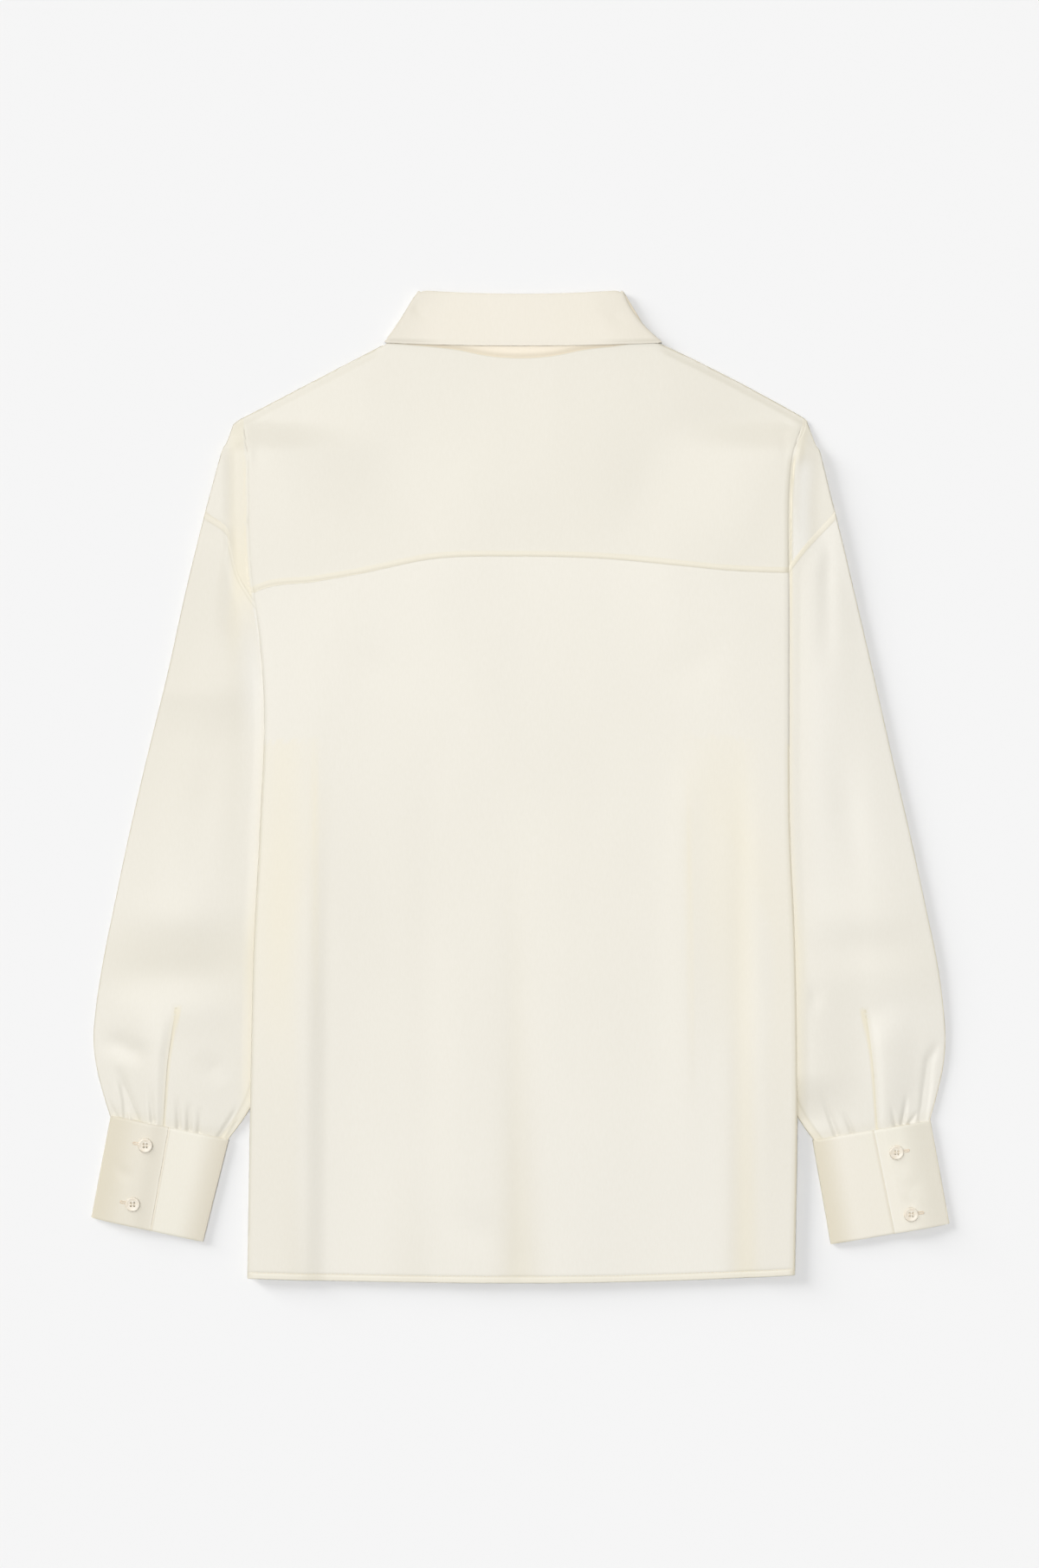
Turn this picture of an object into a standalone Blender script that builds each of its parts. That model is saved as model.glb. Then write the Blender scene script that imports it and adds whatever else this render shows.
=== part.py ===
"""A woven long-sleeved blouse laid flat, back up, as one named solid for each sewn piece.

Sizes are in millimetres and become metres in the scene. X runs across the garment, Y up
towards the collar and Z up from the surface it lies on, which is Z = 0. The wearer's left
is at -X. "Out" is the distance from the centre line to either side.

Laid flat, the body is a pair of layers, back over front. Both sides of the pair are turned
under along the body's edges. Above the underarm the turned part is a Z-shaped pleat that
starts at the shoulder corner and swings the sleeve down, and below it a flap that ends at
the side seam. The sleeves lie on the surface, and the body lies on them.
"""

import math

import bmesh
import bpy
import numpy as np

MM = 0.001
LEFT, RIGHT = -1, 1
SIDES = {"left": LEFT, "right": RIGHT}

# Cloth and how it stacks
CLOTH = 1.0  # thickness of a layer
LIFT = 1.35  # from one layer's middle to the next one's
SEAM = 0.3  # gap between two pieces where they are sewn together
SKIN = (CLOTH + LIFT) / 2  # from a pair's middle to its outer face
ON_FLOOR = SKIN  # middle of a pair that lies on the surface

# Collar, neck and closure
NECK_HALF = 106.0
COLLAR_CLOTH = 1.1
LEAF_LIFT = 1.55  # the body over the collar's front leaves
LAP_HALF = 18.0  # each front passes the centre line by this
BUTTON_SPAN = 11.5
BUTTON_TALL = 1.9
BUTTON_STEPS = 14
BUTTON_ROOM = BUTTON_TALL + 0.5
FRONT_BUTTONS = 7
CLOSURE_AIR = 0.3  # between the back and the fronts over the lap
CLOSURE_TOP = 322.0  # the lap starts to lift the body here, over this length
CLOSURE_RAMP = 95.0
FRONT_BUTTON_TOP = 250.0
FRONT_BUTTON_STEP = 90.0

# Cuffs
CUFF_CLOTH = 1.4
CUFF_LIFT = 1.75
CUFF_CROWN = 1.4
CUFF_LAP = 30.0

# The shoulder corner, where the pleat starts, and where it is fully folded
CORNER_Y = 291.0
FOLDED_Y = 262.0
UNDERARM_Y = 34.0
SHOULDER_RETURN = 6.0
EDGE_RETURN = 0.6  # the same along the corner and the dropped shoulder

RING_STEPS = 3  # segments in a fold's half turn
PLEAT_LEAD = 0.5  # straight cloth beside each bend where the pleat is only forming


class Table:
    """Rows of sizes with named columns, read between rows along smooth curves."""

    def __init__(self, names, *rows):
        order = sorted(rows)
        self.columns = dict(zip(names.split(), np.array(order, float).T))
        self.key = self.columns[names.split()[0]]

    def at(self, name, key):
        keys = self.key
        values = self.columns[name]
        slopes = np.gradient(values, keys)
        key = min(max(key, keys[0]), keys[-1])
        i = min(max(int(np.searchsorted(keys, key)) - 1, 0), len(keys) - 2)
        span = keys[i + 1] - keys[i]
        t = (key - keys[i]) / span
        low = values[i] * (1 + 2 * t) + slopes[i] * span * t
        high = values[i + 1] * (3 - 2 * t) - slopes[i + 1] * span * (1 - t)
        return float((1 - t) ** 2 * low + t * t * high)


# Side edges of the body, where back and front turn under
BODY_EDGE = Table(
    "y left right",
    (291, 218, 219),
    (262, 217, 217),
    (233, 216.5, 213.5),
    (196, 216, 213),
    (158, 213, 213),
    (120, 207, 213),
    (84, 203.5, 213),
    (-36, 206, 213.5),
    (-117, 210.3, 217),
    (-250, 213.5, 219),
    (-392, 216, 217),
)
# Inner edge of what is turned under: the pleat's valley, then the side seam
TURNED_EDGE = Table(
    "y left right",
    (291, 217, 217),
    (262, 213, 213),
    (240, 203.5, 203.5),
    (142, 167.5, 167.5),
    (34, 127, 127),
    (-10, 134, 136),
    (-50, 154, 162),
    (-95, 166, 182),
    (-240, 166, 184),
    (-392, 166, 184),
)
# Inner edge of the sleeve, under the body
SLEEVE_EDGE = Table(
    "y left right",
    (291, 216, 217),
    (250, 207.5, 207.5),
    (142, 167.5, 167.5),
    (34, 127, 127),
    (-20, 139, 139),
    (-80, 156, 156),
    (-140, 176, 176),
    (-200, 197, 198),
    (-255, 213.7, 215),
    (-278.5, 230.5, 230.8),
    (-300, 250, 250),
    (-392, 264, 264),
)
# Outer fold of the dropped shoulder and the sleeve
OUTLINE = Table(
    "y left right",
    (285, 226.5, 227),
    (269.5, 234.3, 235),
    (252, 239.6, 239.9),
    (234, 244.5, 244.3),
    (216, 249.3, 248.9),
    (149, 265.8, 265),
    (87, 279.5, 279.5),
    (26, 294.6, 293.2),
    (-36, 309, 307.6),
    (-98, 322, 321),
    (-139, 330.2, 329.5),
    (-180, 336.3, 335),
    (-200, 337.8, 336.2),
    (-221, 335.6, 334.6),
    (-242, 330.5, 330),
    (-263, 324, 324.3),
)
# Armhole seam, from the shoulder fold to the underarm
ARMHOLE = Table(
    "y left right",
    (216.5, 249.3, 248.7),
    (205, 232.5, 238),
    (190, 229, 224.5),
    (168, 223, 208),
    (140, 206, 189),
    (100, 178, 167),
    (64, 152, 149),
    (34, 131.5, 131.5),
)
# Back neck seam and yoke seam, across the garment
# A row at a negative place mirrors the curve, which is level at the centre.
BACK_NECK = Table("out y", (-25, 339.7), (0, 338), (25, 339.7), (50, 344.6), (80, 347.8), (106, 349.3))
YOKE_SEAM = Table(
    "out left right",
    (-70, 179.2, 179.2),
    (0, 181.2, 181.2),
    (70, 179.2, 179.2),
    (128, 167.5, 173.7),
    (164, 161.5, 170.2),
    (203, 156.5, 168.4),
    (213, 152.4, 168.2),
)
SHOULDER_SLANT = 1.16  # a distance across the shoulder line, measured straight down
HEM_MIDDLE = -392.2
HEM_RISE = {"left": 3.5, "right": 6.2}  # hem's height at the body's edges over its middle
FRONT_NECK_DROP = 74.0

# Rows of the body at its edge, from the shoulder corner to the yoke seam and to the hem
YOKE_ROWS = Table(
    "row left right",
    (0, 291, 291),
    (1, 281, 281),
    (2, 270, 270),
    (3, 262, 262),
    (4, 240, 240),
    (5, 216.5, 216.5),
    (6, 205, 205),
    (7, 187, 190),
    (8, 152.4, 168.2),
)
BODY_ROWS = (126, 80, UNDERARM_Y, 6, -40, -92, -150, -215, -262, -320)

# How far the sleeve's top stands over its flat
SLEEVE_PUFF = Table(
    "y height",
    (216, 0.0),
    (190, 0.5),
    (120, 1.2),
    (0, 1.8),
    (-90, 2.4),
    (-128, 1.2),
    (-160, 2.6),
    (-215, 2.2),
    (-255, 1.2),
    (-280, 0.8),
)
# Gathers at the cuff: the sleeve's column, the ridge's height, and its reach up the sleeve
GATHERS = Table(
    "column left right reach",
    (1, 1.2, 1.8, 62),
    (3, 1.8, 1.2, 56),
    (5, 1.1, 1.0, 40),
    (7, 0.9, 1.1, 38),
    (9, 1.1, 1.3, 46),
    (11, 1.0, 0.8, 42),
)
SLEEVE_ROWS = (0.0, 0.1, 0.24, 0.4, 0.56, 0.68, 0.77, 0.85, 0.93, 1.0)
SLEEVE_COLUMNS = 12  # steps across the sleeve's top. The even ones meet the body's rows
SLIT_COLUMN = 6
SLIT_TOP = 0.77  # of the sleeve's length
SLIT_LAP = 9.0
SLIT_LIFTS = {6: 1.0, 5: 1.0, 4: 0.5, 3: 0.15}  # how much of a layer each column rises

# Corners of the cuffs: top and bottom edges, from outer fold to inner fold
CUFFS = {
    "left": dict(
        top_out=(324, -261), top_in=(230.5, -279.5), end_out=(339.3, -341.5),
        end_in=(250.7, -360), lap_top=0.49, lap_end=0.53,
    ),
    "right": dict(
        top_out=(324.3, -265), top_in=(230.8, -280), end_out=(339.3, -346.3),
        end_in=(245.2, -362), lap_top=0.48, lap_end=0.46,
    ),
}
CUFF_BUTTONS = {
    "left": dict(upper=(296, -284), lower=(306, -330.5)),
    "right": dict(upper=(297, -289.5), lower=(308.5, -338.5)),
}
# Collar, from above, round half of the neck: roll line, outer edge and neck seam, and how
# far it has turned from the back (0) to the front (1)
COLLAR = Table(
    "column roll_out roll_y edge_left edge_right edge_y seam_out turn",
    (0, 0, 388.9, 0, 0, 347.6, 0, 0),
    (1, 32, 389.4, 42, 43, 347.9, 47.3, 0),
    (2, 58, 390.5, 76, 78, 348.8, 76.7, 0),
    (3, 78.4, 391.6, 104.4, 108.9, 349.9, 104.4, 0),
    (4, 78.4, 391.6, 104.4, 108.9, 349.9, 104.4, 1 / 3),
    (5, 78.4, 391.6, 104.4, 108.9, 349.9, 104.4, 2 / 3),
    (6, 78.4, 391.6, 104.4, 108.9, 349.9, 104.4, 1),
    (7, 71, 382, 97, 100, 337, 101.8, 1),
    (8, 48, 352, 79, 80, 306, 76.7, 1),
    (9, 28, 326, 63, 63, 284, 47.3, 1),
    (10, 12, 305, 50, 50, 266, 18, 1),
)
COLLAR_FOLD_END = 6  # the last column of the fold at the collar's side
STAND_END = 0.6  # the stand's ends stop this far from the centre line
COLLAR_MIDDLE = ON_FLOOR + LEAF_LIFT
STAND_RADIUS = LIFT / 2
FALL_RADIUS = COLLAR_MIDDLE - COLLAR_CLOTH / 2
ROLL_RADIUS = (FALL_RADIUS - STAND_RADIUS) / 2


def smooth(t):
    t = min(max(t, 0.0), 1.0)
    return t * t * (3 - 2 * t)


def mix(a, b, t):
    return a + (b - a) * t


# ---------------------------------------------------------------- heights of the stack


def pleat_share(y):
    """How far the pleat has formed at this height: not at the corner, wholly below."""
    return smooth((CORNER_Y - y) / (CORNER_Y - FOLDED_Y))


def pleat_drop(y):
    """Drop through both bends, from the body's layers to the ones on the surface."""
    return 4 * LIFT * pleat_share(y)


def pleat_turn(y):
    """Angle that each bend of the pleat turns through, for bends of radius LIFT."""
    return math.acos(1 - 2 * pleat_share(y))


def rise(out, edge, ramp):
    """0 inside the ramp, 1 from its end at the edge outwards."""
    return smooth((out - edge + ramp) / ramp)


def turned_ramp(y):
    return mix(14.0, 60.0, smooth((y + 60) / (UNDERARM_Y + 60)))


def sleeve_ramp(y):
    return mix(45.0, 60.0, smooth((y + 60) / (UNDERARM_Y + 60)))


def leaf_rise(out, y):
    """The body lies over the collar's front leaves."""
    reach = math.hypot(out / 112, (y - 330) / 72)
    return LEAF_LIFT * smooth((1.9 - reach) / 0.9)


def closure_share(out, y):
    """How far the fronts' lap and its buttons lift the body here: 1 over them."""
    across = smooth((NECK_HALF - out) / (NECK_HALF - LAP_HALF))
    return across * smooth((CLOSURE_TOP - y) / CLOSURE_RAMP)


def closure_rise(out, y):
    return (LIFT + BUTTON_ROOM) * closure_share(out, y)


def under_height(name, out, y):
    """Middle of the turned pair, which lies on the sleeve."""
    layer = pleat_drop(y) / 2
    edge = SLEEVE_EDGE.at(name, y) - 6
    return ON_FLOOR + layer * rise(out, edge, sleeve_ramp(y))


def body_height(name, out, y):
    """Middle of the pair of back and front."""
    layer = pleat_drop(y) / 2
    edge = TURNED_EDGE.at(name, y) - 3
    turned = layer * rise(out, edge, turned_ramp(y))
    return under_height(name, out, y) + turned + leaf_rise(out, y) + closure_rise(out, y)


def shoulder_ridge(name, out, y):
    """The soft roll of cloth beside the body's left edge, from the corner down."""
    if name != "left":
        return 0.0
    inner = BODY_EDGE.at(name, y) + 1
    spread = mix(12, 32, smooth((200 - y) / 90))
    across = (out - inner) / spread
    if not 0 < across < 1:
        return 0.0
    along = smooth((278 - y) / 30) * smooth((y - 60) / 60)
    return 2.6 * along * math.sin(math.pi * across) ** 2


# ---------------------------------------------------------------- rows of the body


def shoulder_y(name, out):
    """Back's top edge: the neck seam, then the shoulder line."""
    if out <= NECK_HALF:
        return BACK_NECK.at("y", out)
    top = BACK_NECK.at("y", NECK_HALF) - SKIN
    fall = (top - CORNER_Y) / (BODY_EDGE.at(name, CORNER_Y) - NECK_HALF)
    return top - fall * (out - NECK_HALF)


def front_top_y(name, out):
    """Where the front's rows start: at the front neck seam, then at the shoulder line."""
    if out >= NECK_HALF:
        return shoulder_y(name, out)
    side = shoulder_y(name, NECK_HALF) - (SHOULDER_RETURN + SEAM) * SHOULDER_SLANT
    return side - FRONT_NECK_DROP * (1 - (max(out, 0) / NECK_HALF) ** 1.5)


def shoulder_return(out):
    """How far the yoke reaches under the shoulder's fold. It runs out at the corner."""
    return SHOULDER_RETURN * smooth((216 - out) / 30)


def hem_y(name, out):
    edge = BODY_EDGE.at(name, HEM_MIDDLE)
    return HEM_MIDDLE + HEM_RISE[name] * (out / edge) ** 2


class Row:
    """One row across half the body: where its points lie, for back and front alike."""

    def __init__(self, name, edge_y, share, middle_share, top, bottom):
        self.name = name
        self.edge_y = edge_y
        self.share = share
        self.middle_share = middle_share
        self.top = top
        self.bottom = bottom
        self.turn = pleat_turn(edge_y)
        reach = LIFT * (math.sin(self.turn) if self.turn < math.pi / 2 else 1.0)
        self.start = BODY_EDGE.at(name, edge_y) - SKIN - reach

    def level(self, out, part):
        share = mix(self.middle_share, self.share, part)
        return mix(self.top(self.name, out), self.bottom(self.name, out), share)

    def y(self, out):
        """Place of the row's flat part along the garment, at this distance out."""
        part = (max(out, 0) / self.start) ** 2
        miss = self.edge_y - self.level(self.start, 1.0)
        return self.level(out, part) + miss * part

    def turned_y(self, out):
        """The same past the body's edge, where the corner's rows slope down."""
        tilt = 0.7 * smooth((self.edge_y - 262) / 29)
        return self.edge_y - tilt * max(out - self.start, 0)

    def columns(self):
        """Distances out of the flat part's points. They follow the ramp over the turned edge."""
        edge = min(TURNED_EDGE.at(self.name, self.edge_y) - 3, self.start - 12)
        ramp = turned_ramp(self.edge_y)
        foot = edge - ramp
        neck = min(NECK_HALF, foot - 14)
        step = (neck - LAP_HALF) / 3
        inner = [0, LAP_HALF, LAP_HALF + step, LAP_HALF + 2 * step, neck]
        return inner + [foot, edge - ramp / 2, edge, (edge + self.start) / 2, self.start]

    def path(self, with_pleat):
        """Points (out, y, z, turned angle) along the middle of the pair, centre to edge."""
        name = self.name
        points = []
        for out in self.columns():
            y = self.y(out)
            points.append((out, y, body_height(name, out, y), 0.0))
        out, z = self.start, points[-1][2]
        angle = 0.0
        share = pleat_share(self.edge_y)
        step = self.turn / RING_STEPS
        length = LIFT * step + PLEAT_LEAD * (1 - share)
        for _ in range(RING_STEPS):
            out, z, angle = step_along(out, z, angle, length, -step)
            points.append((out, self.turned_y(out), z, angle))
        valley = TURNED_EDGE.at(name, self.edge_y)
        if not with_pleat:
            halfway = self.columns()[-2]
            for place in (halfway, valley):
                z = under_height(name, place, self.edge_y)
                points.append((place, self.edge_y, z, angle))
            return points
        flat = max(PLEAT_LEAD, out - valley - LIFT) if share > 0.99 else PLEAT_LEAD
        out += flat * math.cos(angle)
        z += flat * math.sin(angle)
        points.append((out, self.turned_y(out), z, angle))
        for _ in range(RING_STEPS):
            out, z, angle = step_along(out, z, angle, length, step)
            points.append((out, self.turned_y(out), z, angle))
        return self.landed(points) + self.dropped(out)

    def landed(self, points):
        """The pleat's points with their drop fitted, so that the last one lies on the surface."""
        flat = len(self.columns())
        top = points[flat - 1][2]
        drop = top - points[-1][2]
        scale = (top - ON_FLOOR) / drop if drop > 0 else 1.0
        folded = [(out, y, top - (top - z) * scale, angle) for out, y, z, angle in points[flat:]]
        return points[:flat] + folded

    def dropped(self, out):
        """The lowest stretch, from the pleat to the shoulder's fold or the armhole."""
        name, y = self.name, self.edge_y
        last = ARMHOLE.at(name, y) if y < 216 else OUTLINE.at(name, self.turned_y(228)) - SKIN
        body = BODY_EDGE.at(name, y) + 1
        first = min(max(out + 0.8, body), mix(out, last, 0.4))
        middle = mix(first, last, 0.42)
        points = []
        for place in (first, middle, last):
            height = ON_FLOOR + shoulder_ridge(name, place, y)
            points.append((place, self.turned_y(place), height, 0.0))
        return points


def step_along(out, z, angle, length, turn):
    """Moves along an arc by this length while the direction turns."""
    middle = angle + turn / 2
    chord = length * (math.sin(turn / 2) / (turn / 2)) if abs(turn) > 1e-6 else length
    return out + chord * math.cos(middle), z + chord * math.sin(middle), angle + turn


def yoke_seam_y(name, out):
    return YOKE_SEAM.at(name, out)


def back_top_y(name, out):
    return yoke_seam_y(name, out) - SEAM


def rows_between(name, edges, top, bottom):
    """Rows at these heights of each side's edge, spread between a top and a bottom line."""
    rows = []
    for i, edge_y in enumerate(edges[name]):
        shares = {}
        for side, heights in edges.items():
            shares[side] = (heights[0] - heights[i]) / (heights[0] - heights[-1])
        middle = sum(shares.values()) / len(shares)
        rows.append(Row(name, edge_y, shares[name], middle, top, bottom))
    return rows


def yoke_rows(name, top):
    """Rows from the shoulder to the yoke seam."""
    edges = {side: list(YOKE_ROWS.columns[side]) for side in SIDES}
    return rows_between(name, edges, top, yoke_seam_y)


def lower_rows(name):
    """Rows from the yoke seam to the hem."""
    edges = {}
    for side in SIDES:
        seam = YOKE_ROWS.columns[side][-1] - SEAM
        edges[side] = [seam, *BODY_ROWS, HEM_MIDDLE + HEM_RISE[side]]
    return rows_between(name, edges, back_top_y, hem_y)


# ---------------------------------------------------------------- building sheets


def offset_point(side, point, shift):
    """A point of a sheet that lies this far above the middle of the pair."""
    out, y, z, angle = point
    return (side * (out - shift * math.sin(angle)), y, z + shift * math.cos(angle))


def sheet_object(name, points, faces, cloth, material):
    """A solid wall of cloth round the sheet through these points."""
    mesh = bpy.data.meshes.new(name)
    mesh.from_pydata([tuple(v * MM for v in p) for p in points], [], faces)
    build = bmesh.new()
    build.from_mesh(mesh)
    bmesh.ops.remove_doubles(build, verts=build.verts, dist=0.02 * MM)
    bmesh.ops.recalc_face_normals(build, faces=build.faces)
    build.to_mesh(mesh)
    build.free()
    mesh.shade_smooth()
    obj = bpy.data.objects.new(name, mesh)
    PARTS.objects.link(obj)
    mesh.materials.append(material)
    wall = obj.modifiers.new("cloth", "SOLIDIFY")
    wall.thickness = cloth * MM
    wall.offset = 0
    return obj


class Sheet:
    """Points and faces of one sheet, gathered row by row."""

    def __init__(self):
        self.points = []
        self.faces = []

    def add(self, point):
        self.points.append(point)
        return len(self.points) - 1

    def row(self, points):
        return [self.add(p) for p in points]

    def join(self, first, second):
        """Faces between two rows, as far as the shorter one goes."""
        for i in range(min(len(first), len(second)) - 1):
            self.faces.append((first[i], first[i + 1], second[i + 1], second[i]))


def half_body(sheet, name, rows, shift, fit=None):
    """Rows of one half of a back or front piece. Returns their point numbers."""
    made = []
    for row in rows:
        with_pleat = row.edge_y >= UNDERARM_Y
        points = row.path(with_pleat)
        if fit:
            points = fit(row, points)
        made.append(sheet.row([offset_point(SIDES[name], p, shift) for p in points]))
    for first, second in zip(made, made[1:]):
        sheet.join(first, second)
    return made


def roll_shoulder(sheet, name, rows):
    """Rolls the yoke's top edge over the shoulder and down the dropped shoulder's fold."""
    top = [p for p in rows[0].path(True) if p[0] >= NECK_HALF - 0.1]
    side = [row.path(True)[-1] for row in rows[1:6]]
    chain = top + side
    rings = []
    for i, point in enumerate(chain):
        before = chain[max(i - 1, 0)]
        after = chain[min(i + 1, len(chain) - 1)]
        along = (after[0] - before[0], after[1] - before[1])
        size = math.hypot(*along)
        away = (-along[1] / size, along[0] / size)
        radius = LIFT / 2
        turned = shoulder_return(point[0])
        ring = []
        for step in range(RING_STEPS + 1):
            angle = math.pi * step / RING_STEPS
            reach = radius * math.sin(angle)
            lift = radius * math.cos(angle)
            ring.append((reach, lift))
        ring.append((-max(turned, EDGE_RETURN), -radius))
        rings.append([
            (SIDES[name] * (point[0] + away[0] * r), point[1] + away[1] * r, point[2] + lift)
            for r, lift in ring
        ])
    made = [sheet.row(ring) for ring in rings]
    for first, second in zip(made, made[1:]):
        sheet.join(first, second)


def over_lap(row, points):
    """Raises the back's layer a little more than the fronts' where they lap."""
    flat = len(row.columns())
    raised = [(out, y, z + CLOSURE_AIR * closure_share(out, y), a) for out, y, z, a in points[:flat]]
    return raised + points[flat:]


def make_yoke(material):
    sheet = Sheet()
    for name in SIDES:
        rows = yoke_rows(name, shoulder_y)
        half_body(sheet, name, rows, LIFT / 2, over_lap)
        roll_shoulder(sheet, name, rows)
    sheet_object("yoke", sheet.points, sheet.faces, CLOTH, material)


def make_back(material):
    sheet = Sheet()
    for name in SIDES:
        half_body(sheet, name, lower_rows(name), LIFT / 2, over_lap)
    sheet_object("back", sheet.points, sheet.faces, CLOTH, material)


def make_front(name, material):
    """A front, from past the centre line to the armhole and the side seam."""
    outer = name == "right"  # the right front closes over the left one, nearest the surface
    clear = EDGE_RETURN + SEAM

    def fit(row, points):
        """Keeps the edges clear of the yoke's return, and lays the outer front lowest."""
        fitted = []
        top = row.edge_y == CORNER_Y
        for i, (out, y, z, angle) in enumerate(points):
            if top and out >= NECK_HALF - 0.1:
                y -= (max(shoulder_return(out), EDGE_RETURN) + SEAM) * SHOULDER_SLANT
            if i == len(points) - 1 and row.edge_y >= 205.5:
                out -= clear
            if outer and i < 2:
                z -= LIFT
            fitted.append((out, y, z, angle))
        past = fitted[1]
        return [(-past[0], *past[1:])] + fitted

    sheet = Sheet()
    rows = yoke_rows(name, front_top_y) + lower_rows(name)[1:]
    half_body(sheet, name, rows, -LIFT / 2, fit)
    sheet_object(f"front_{name}", sheet.points, sheet.faces, CLOTH, material)


# ---------------------------------------------------------------- sleeves


def unit(x, y):
    size = math.hypot(x, y)
    return x / size, y / size


def moved_out(points, gap):
    """The corners of a line of seam, moved to the sleeve's side of it by this gap."""
    moved = []
    for i, (x, y) in enumerate(points):
        before = points[max(i - 1, 0)]
        after = points[min(i + 1, len(points) - 1)]
        along = unit(after[0] - before[0], after[1] - before[1])
        moved.append((x - along[1] * gap, y + along[0] * gap))
    return moved


def armhole_corners(name):
    """Ends of the body's rows at the armhole, from the shoulder's fold to the underarm."""
    rows = yoke_rows(name, shoulder_y)[5:] + lower_rows(name)[1:4]
    return [row.path(True)[-1][:2] for row in rows]


class Sleeve:
    """Places on one flattened sleeve. Columns run from its outer fold to its inner one."""

    def __init__(self, name):
        self.name = name
        self.cuff = CUFFS[name]
        corners = moved_out(armhole_corners(name), SEAM * 1.1)
        self.armhole = []
        for first, second in zip(corners, corners[1:]):
            self.armhole += [first, ((first[0] + second[0]) / 2, (first[1] + second[1]) / 2)]
        self.armhole.append(corners[-1])

    def outer(self, w):
        y = mix(self.armhole[0][1], self.cuff["top_out"][1], w)
        return OUTLINE.at(self.name, y) - SKIN, y

    def inner(self, w):
        y = mix(self.armhole[-1][1] - 0.6, self.cuff["top_in"][1], w)
        return SLEEVE_EDGE.at(self.name, y) + SKIN, y

    def straight(self, w, column):
        outer = self.outer(w)
        inner = self.inner(w)
        t = column / SLEEVE_COLUMNS
        return mix(outer[0], inner[0], t), mix(outer[1], inner[1], t)

    def place(self, w, column):
        """Place from above. The first row follows the armhole, and lower ones straighten."""
        x, y = self.straight(w, column)
        start = self.straight(0, column)
        corner = self.armhole[column]
        bow = 1 - smooth(w / 0.35)
        return x + (corner[0] - start[0]) * bow, y + (corner[1] - start[1]) * bow

    def top(self, w, column):
        """Height of the top layer's middle."""
        name = self.name
        out, y = self.place(w, column)
        inner = max(BODY_EDGE.at(name, y) + 8, SLEEVE_EDGE.at(name, y))
        across = (out - inner) / max(OUTLINE.at(name, y) - SKIN - inner, 1)
        puff = SLEEVE_PUFF.at("height", y) * math.sin(math.pi * min(max(across, 0), 1))
        return ON_FLOOR + LIFT / 2 + puff + shoulder_ridge(name, out, y) + self.gather(w, column)

    def gather(self, w, column):
        """Height of the ridge that a gather at the cuff raises here."""
        if column not in GATHERS.key:
            return 0.0
        away = (1 - w) * (self.outer(0)[1] - self.outer(1)[1])
        return GATHERS.at(self.name, column) * smooth(1 - away / GATHERS.at("reach", column))

    def fold(self, w, end, start_angle):
        """Points round a side fold, between the layers, from the top or from the bottom."""
        step = 0.01
        before = end(max(w - step, 0))
        after = end(min(w + step, 1))
        along = unit(after[0] - before[0], after[1] - before[1])
        sign = 1 if end == self.outer else -1
        away = (-along[1] * sign, along[0] * sign)
        if w == 1:
            across = unit(*(a - b for a, b in zip(self.outer(1), self.inner(1))))
            away = (across[0] * sign, across[1] * sign)
        x, y = self.place(w, 0 if end == self.outer else SLEEVE_COLUMNS)
        points = []
        for i in range(1, RING_STEPS):
            angle = math.pi * i / RING_STEPS
            reach = LIFT / 2 * math.sin(angle)
            lift = LIFT / 2 * math.cos(angle) * start_angle
            points.append((x + away[0] * reach, y + away[1] * reach, ON_FLOOR + lift))
        return points

    def section(self, w):
        """One row, from the slit outwards, under the sleeve and back to the slit."""
        opening = smooth((w - SLIT_TOP) / (SLEEVE_ROWS[7] - SLIT_TOP))
        points = []
        for column in range(SLIT_COLUMN, -1, -1):
            lift = LIFT * opening * SLIT_LIFTS.get(column, 0)
            points.append((*self.place(w, column), self.top(w, column) + lift))
        points += self.fold(w, self.outer, 1)
        for column in range(0, SLEEVE_COLUMNS + 1, 2):
            points.append((*self.place(w, column), ON_FLOOR - LIFT / 2))
        points += self.fold(w, self.inner, -1)
        for column in range(SLEEVE_COLUMNS, SLIT_COLUMN, -1):
            points.append((*self.place(w, column), self.top(w, column)))
        end = self.place(w, SLIT_COLUMN)
        next_one = self.place(w, SLIT_COLUMN - 1)
        outwards = unit(next_one[0] - end[0], next_one[1] - end[1])
        lap = SLIT_LAP * opening
        under = (end[0] + outwards[0] * lap, end[1] + outwards[1] * lap)
        return points + [(*under, self.top(w, SLIT_COLUMN))]


def make_sleeve(name, material):
    sleeve = Sleeve(name)
    sheet = Sheet()
    rows = []
    for w in SLEEVE_ROWS:
        rows.append(sheet.row([(SIDES[name] * x, y, z) for x, y, z in sleeve.section(w)]))
    for first, second in zip(rows, rows[1:]):
        sheet.join(first, second)
    sheet_object(f"sleeve_{name}", sheet.points, sheet.faces, CLOTH, material)


# ---------------------------------------------------------------- cuffs


def cuff_place(name, across, along):
    """Place on a cuff from above: across from its outer fold, along from the sleeve."""
    cuff = CUFFS[name]
    skin = (CUFF_LIFT + CUFF_CLOTH) / 2
    rows = []
    for out_end, in_end in (("top_out", "top_in"), ("end_out", "end_in")):
        first = (cuff[out_end][0] - skin, cuff[out_end][1])
        second = (cuff[in_end][0] + skin, cuff[in_end][1])
        rows.append([mix(a, b, across) for a, b in zip(first, second)])
    return tuple(mix(a, b, along) for a, b in zip(*rows))


def cuff_lap(name, along):
    """Where the over-part's edge lies across the cuff."""
    cuff = CUFFS[name]
    return mix(cuff["lap_top"], cuff["lap_end"], along)


def cuff_width(name):
    cuff = CUFFS[name]
    return math.dist(cuff["top_out"], cuff["top_in"])


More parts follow.
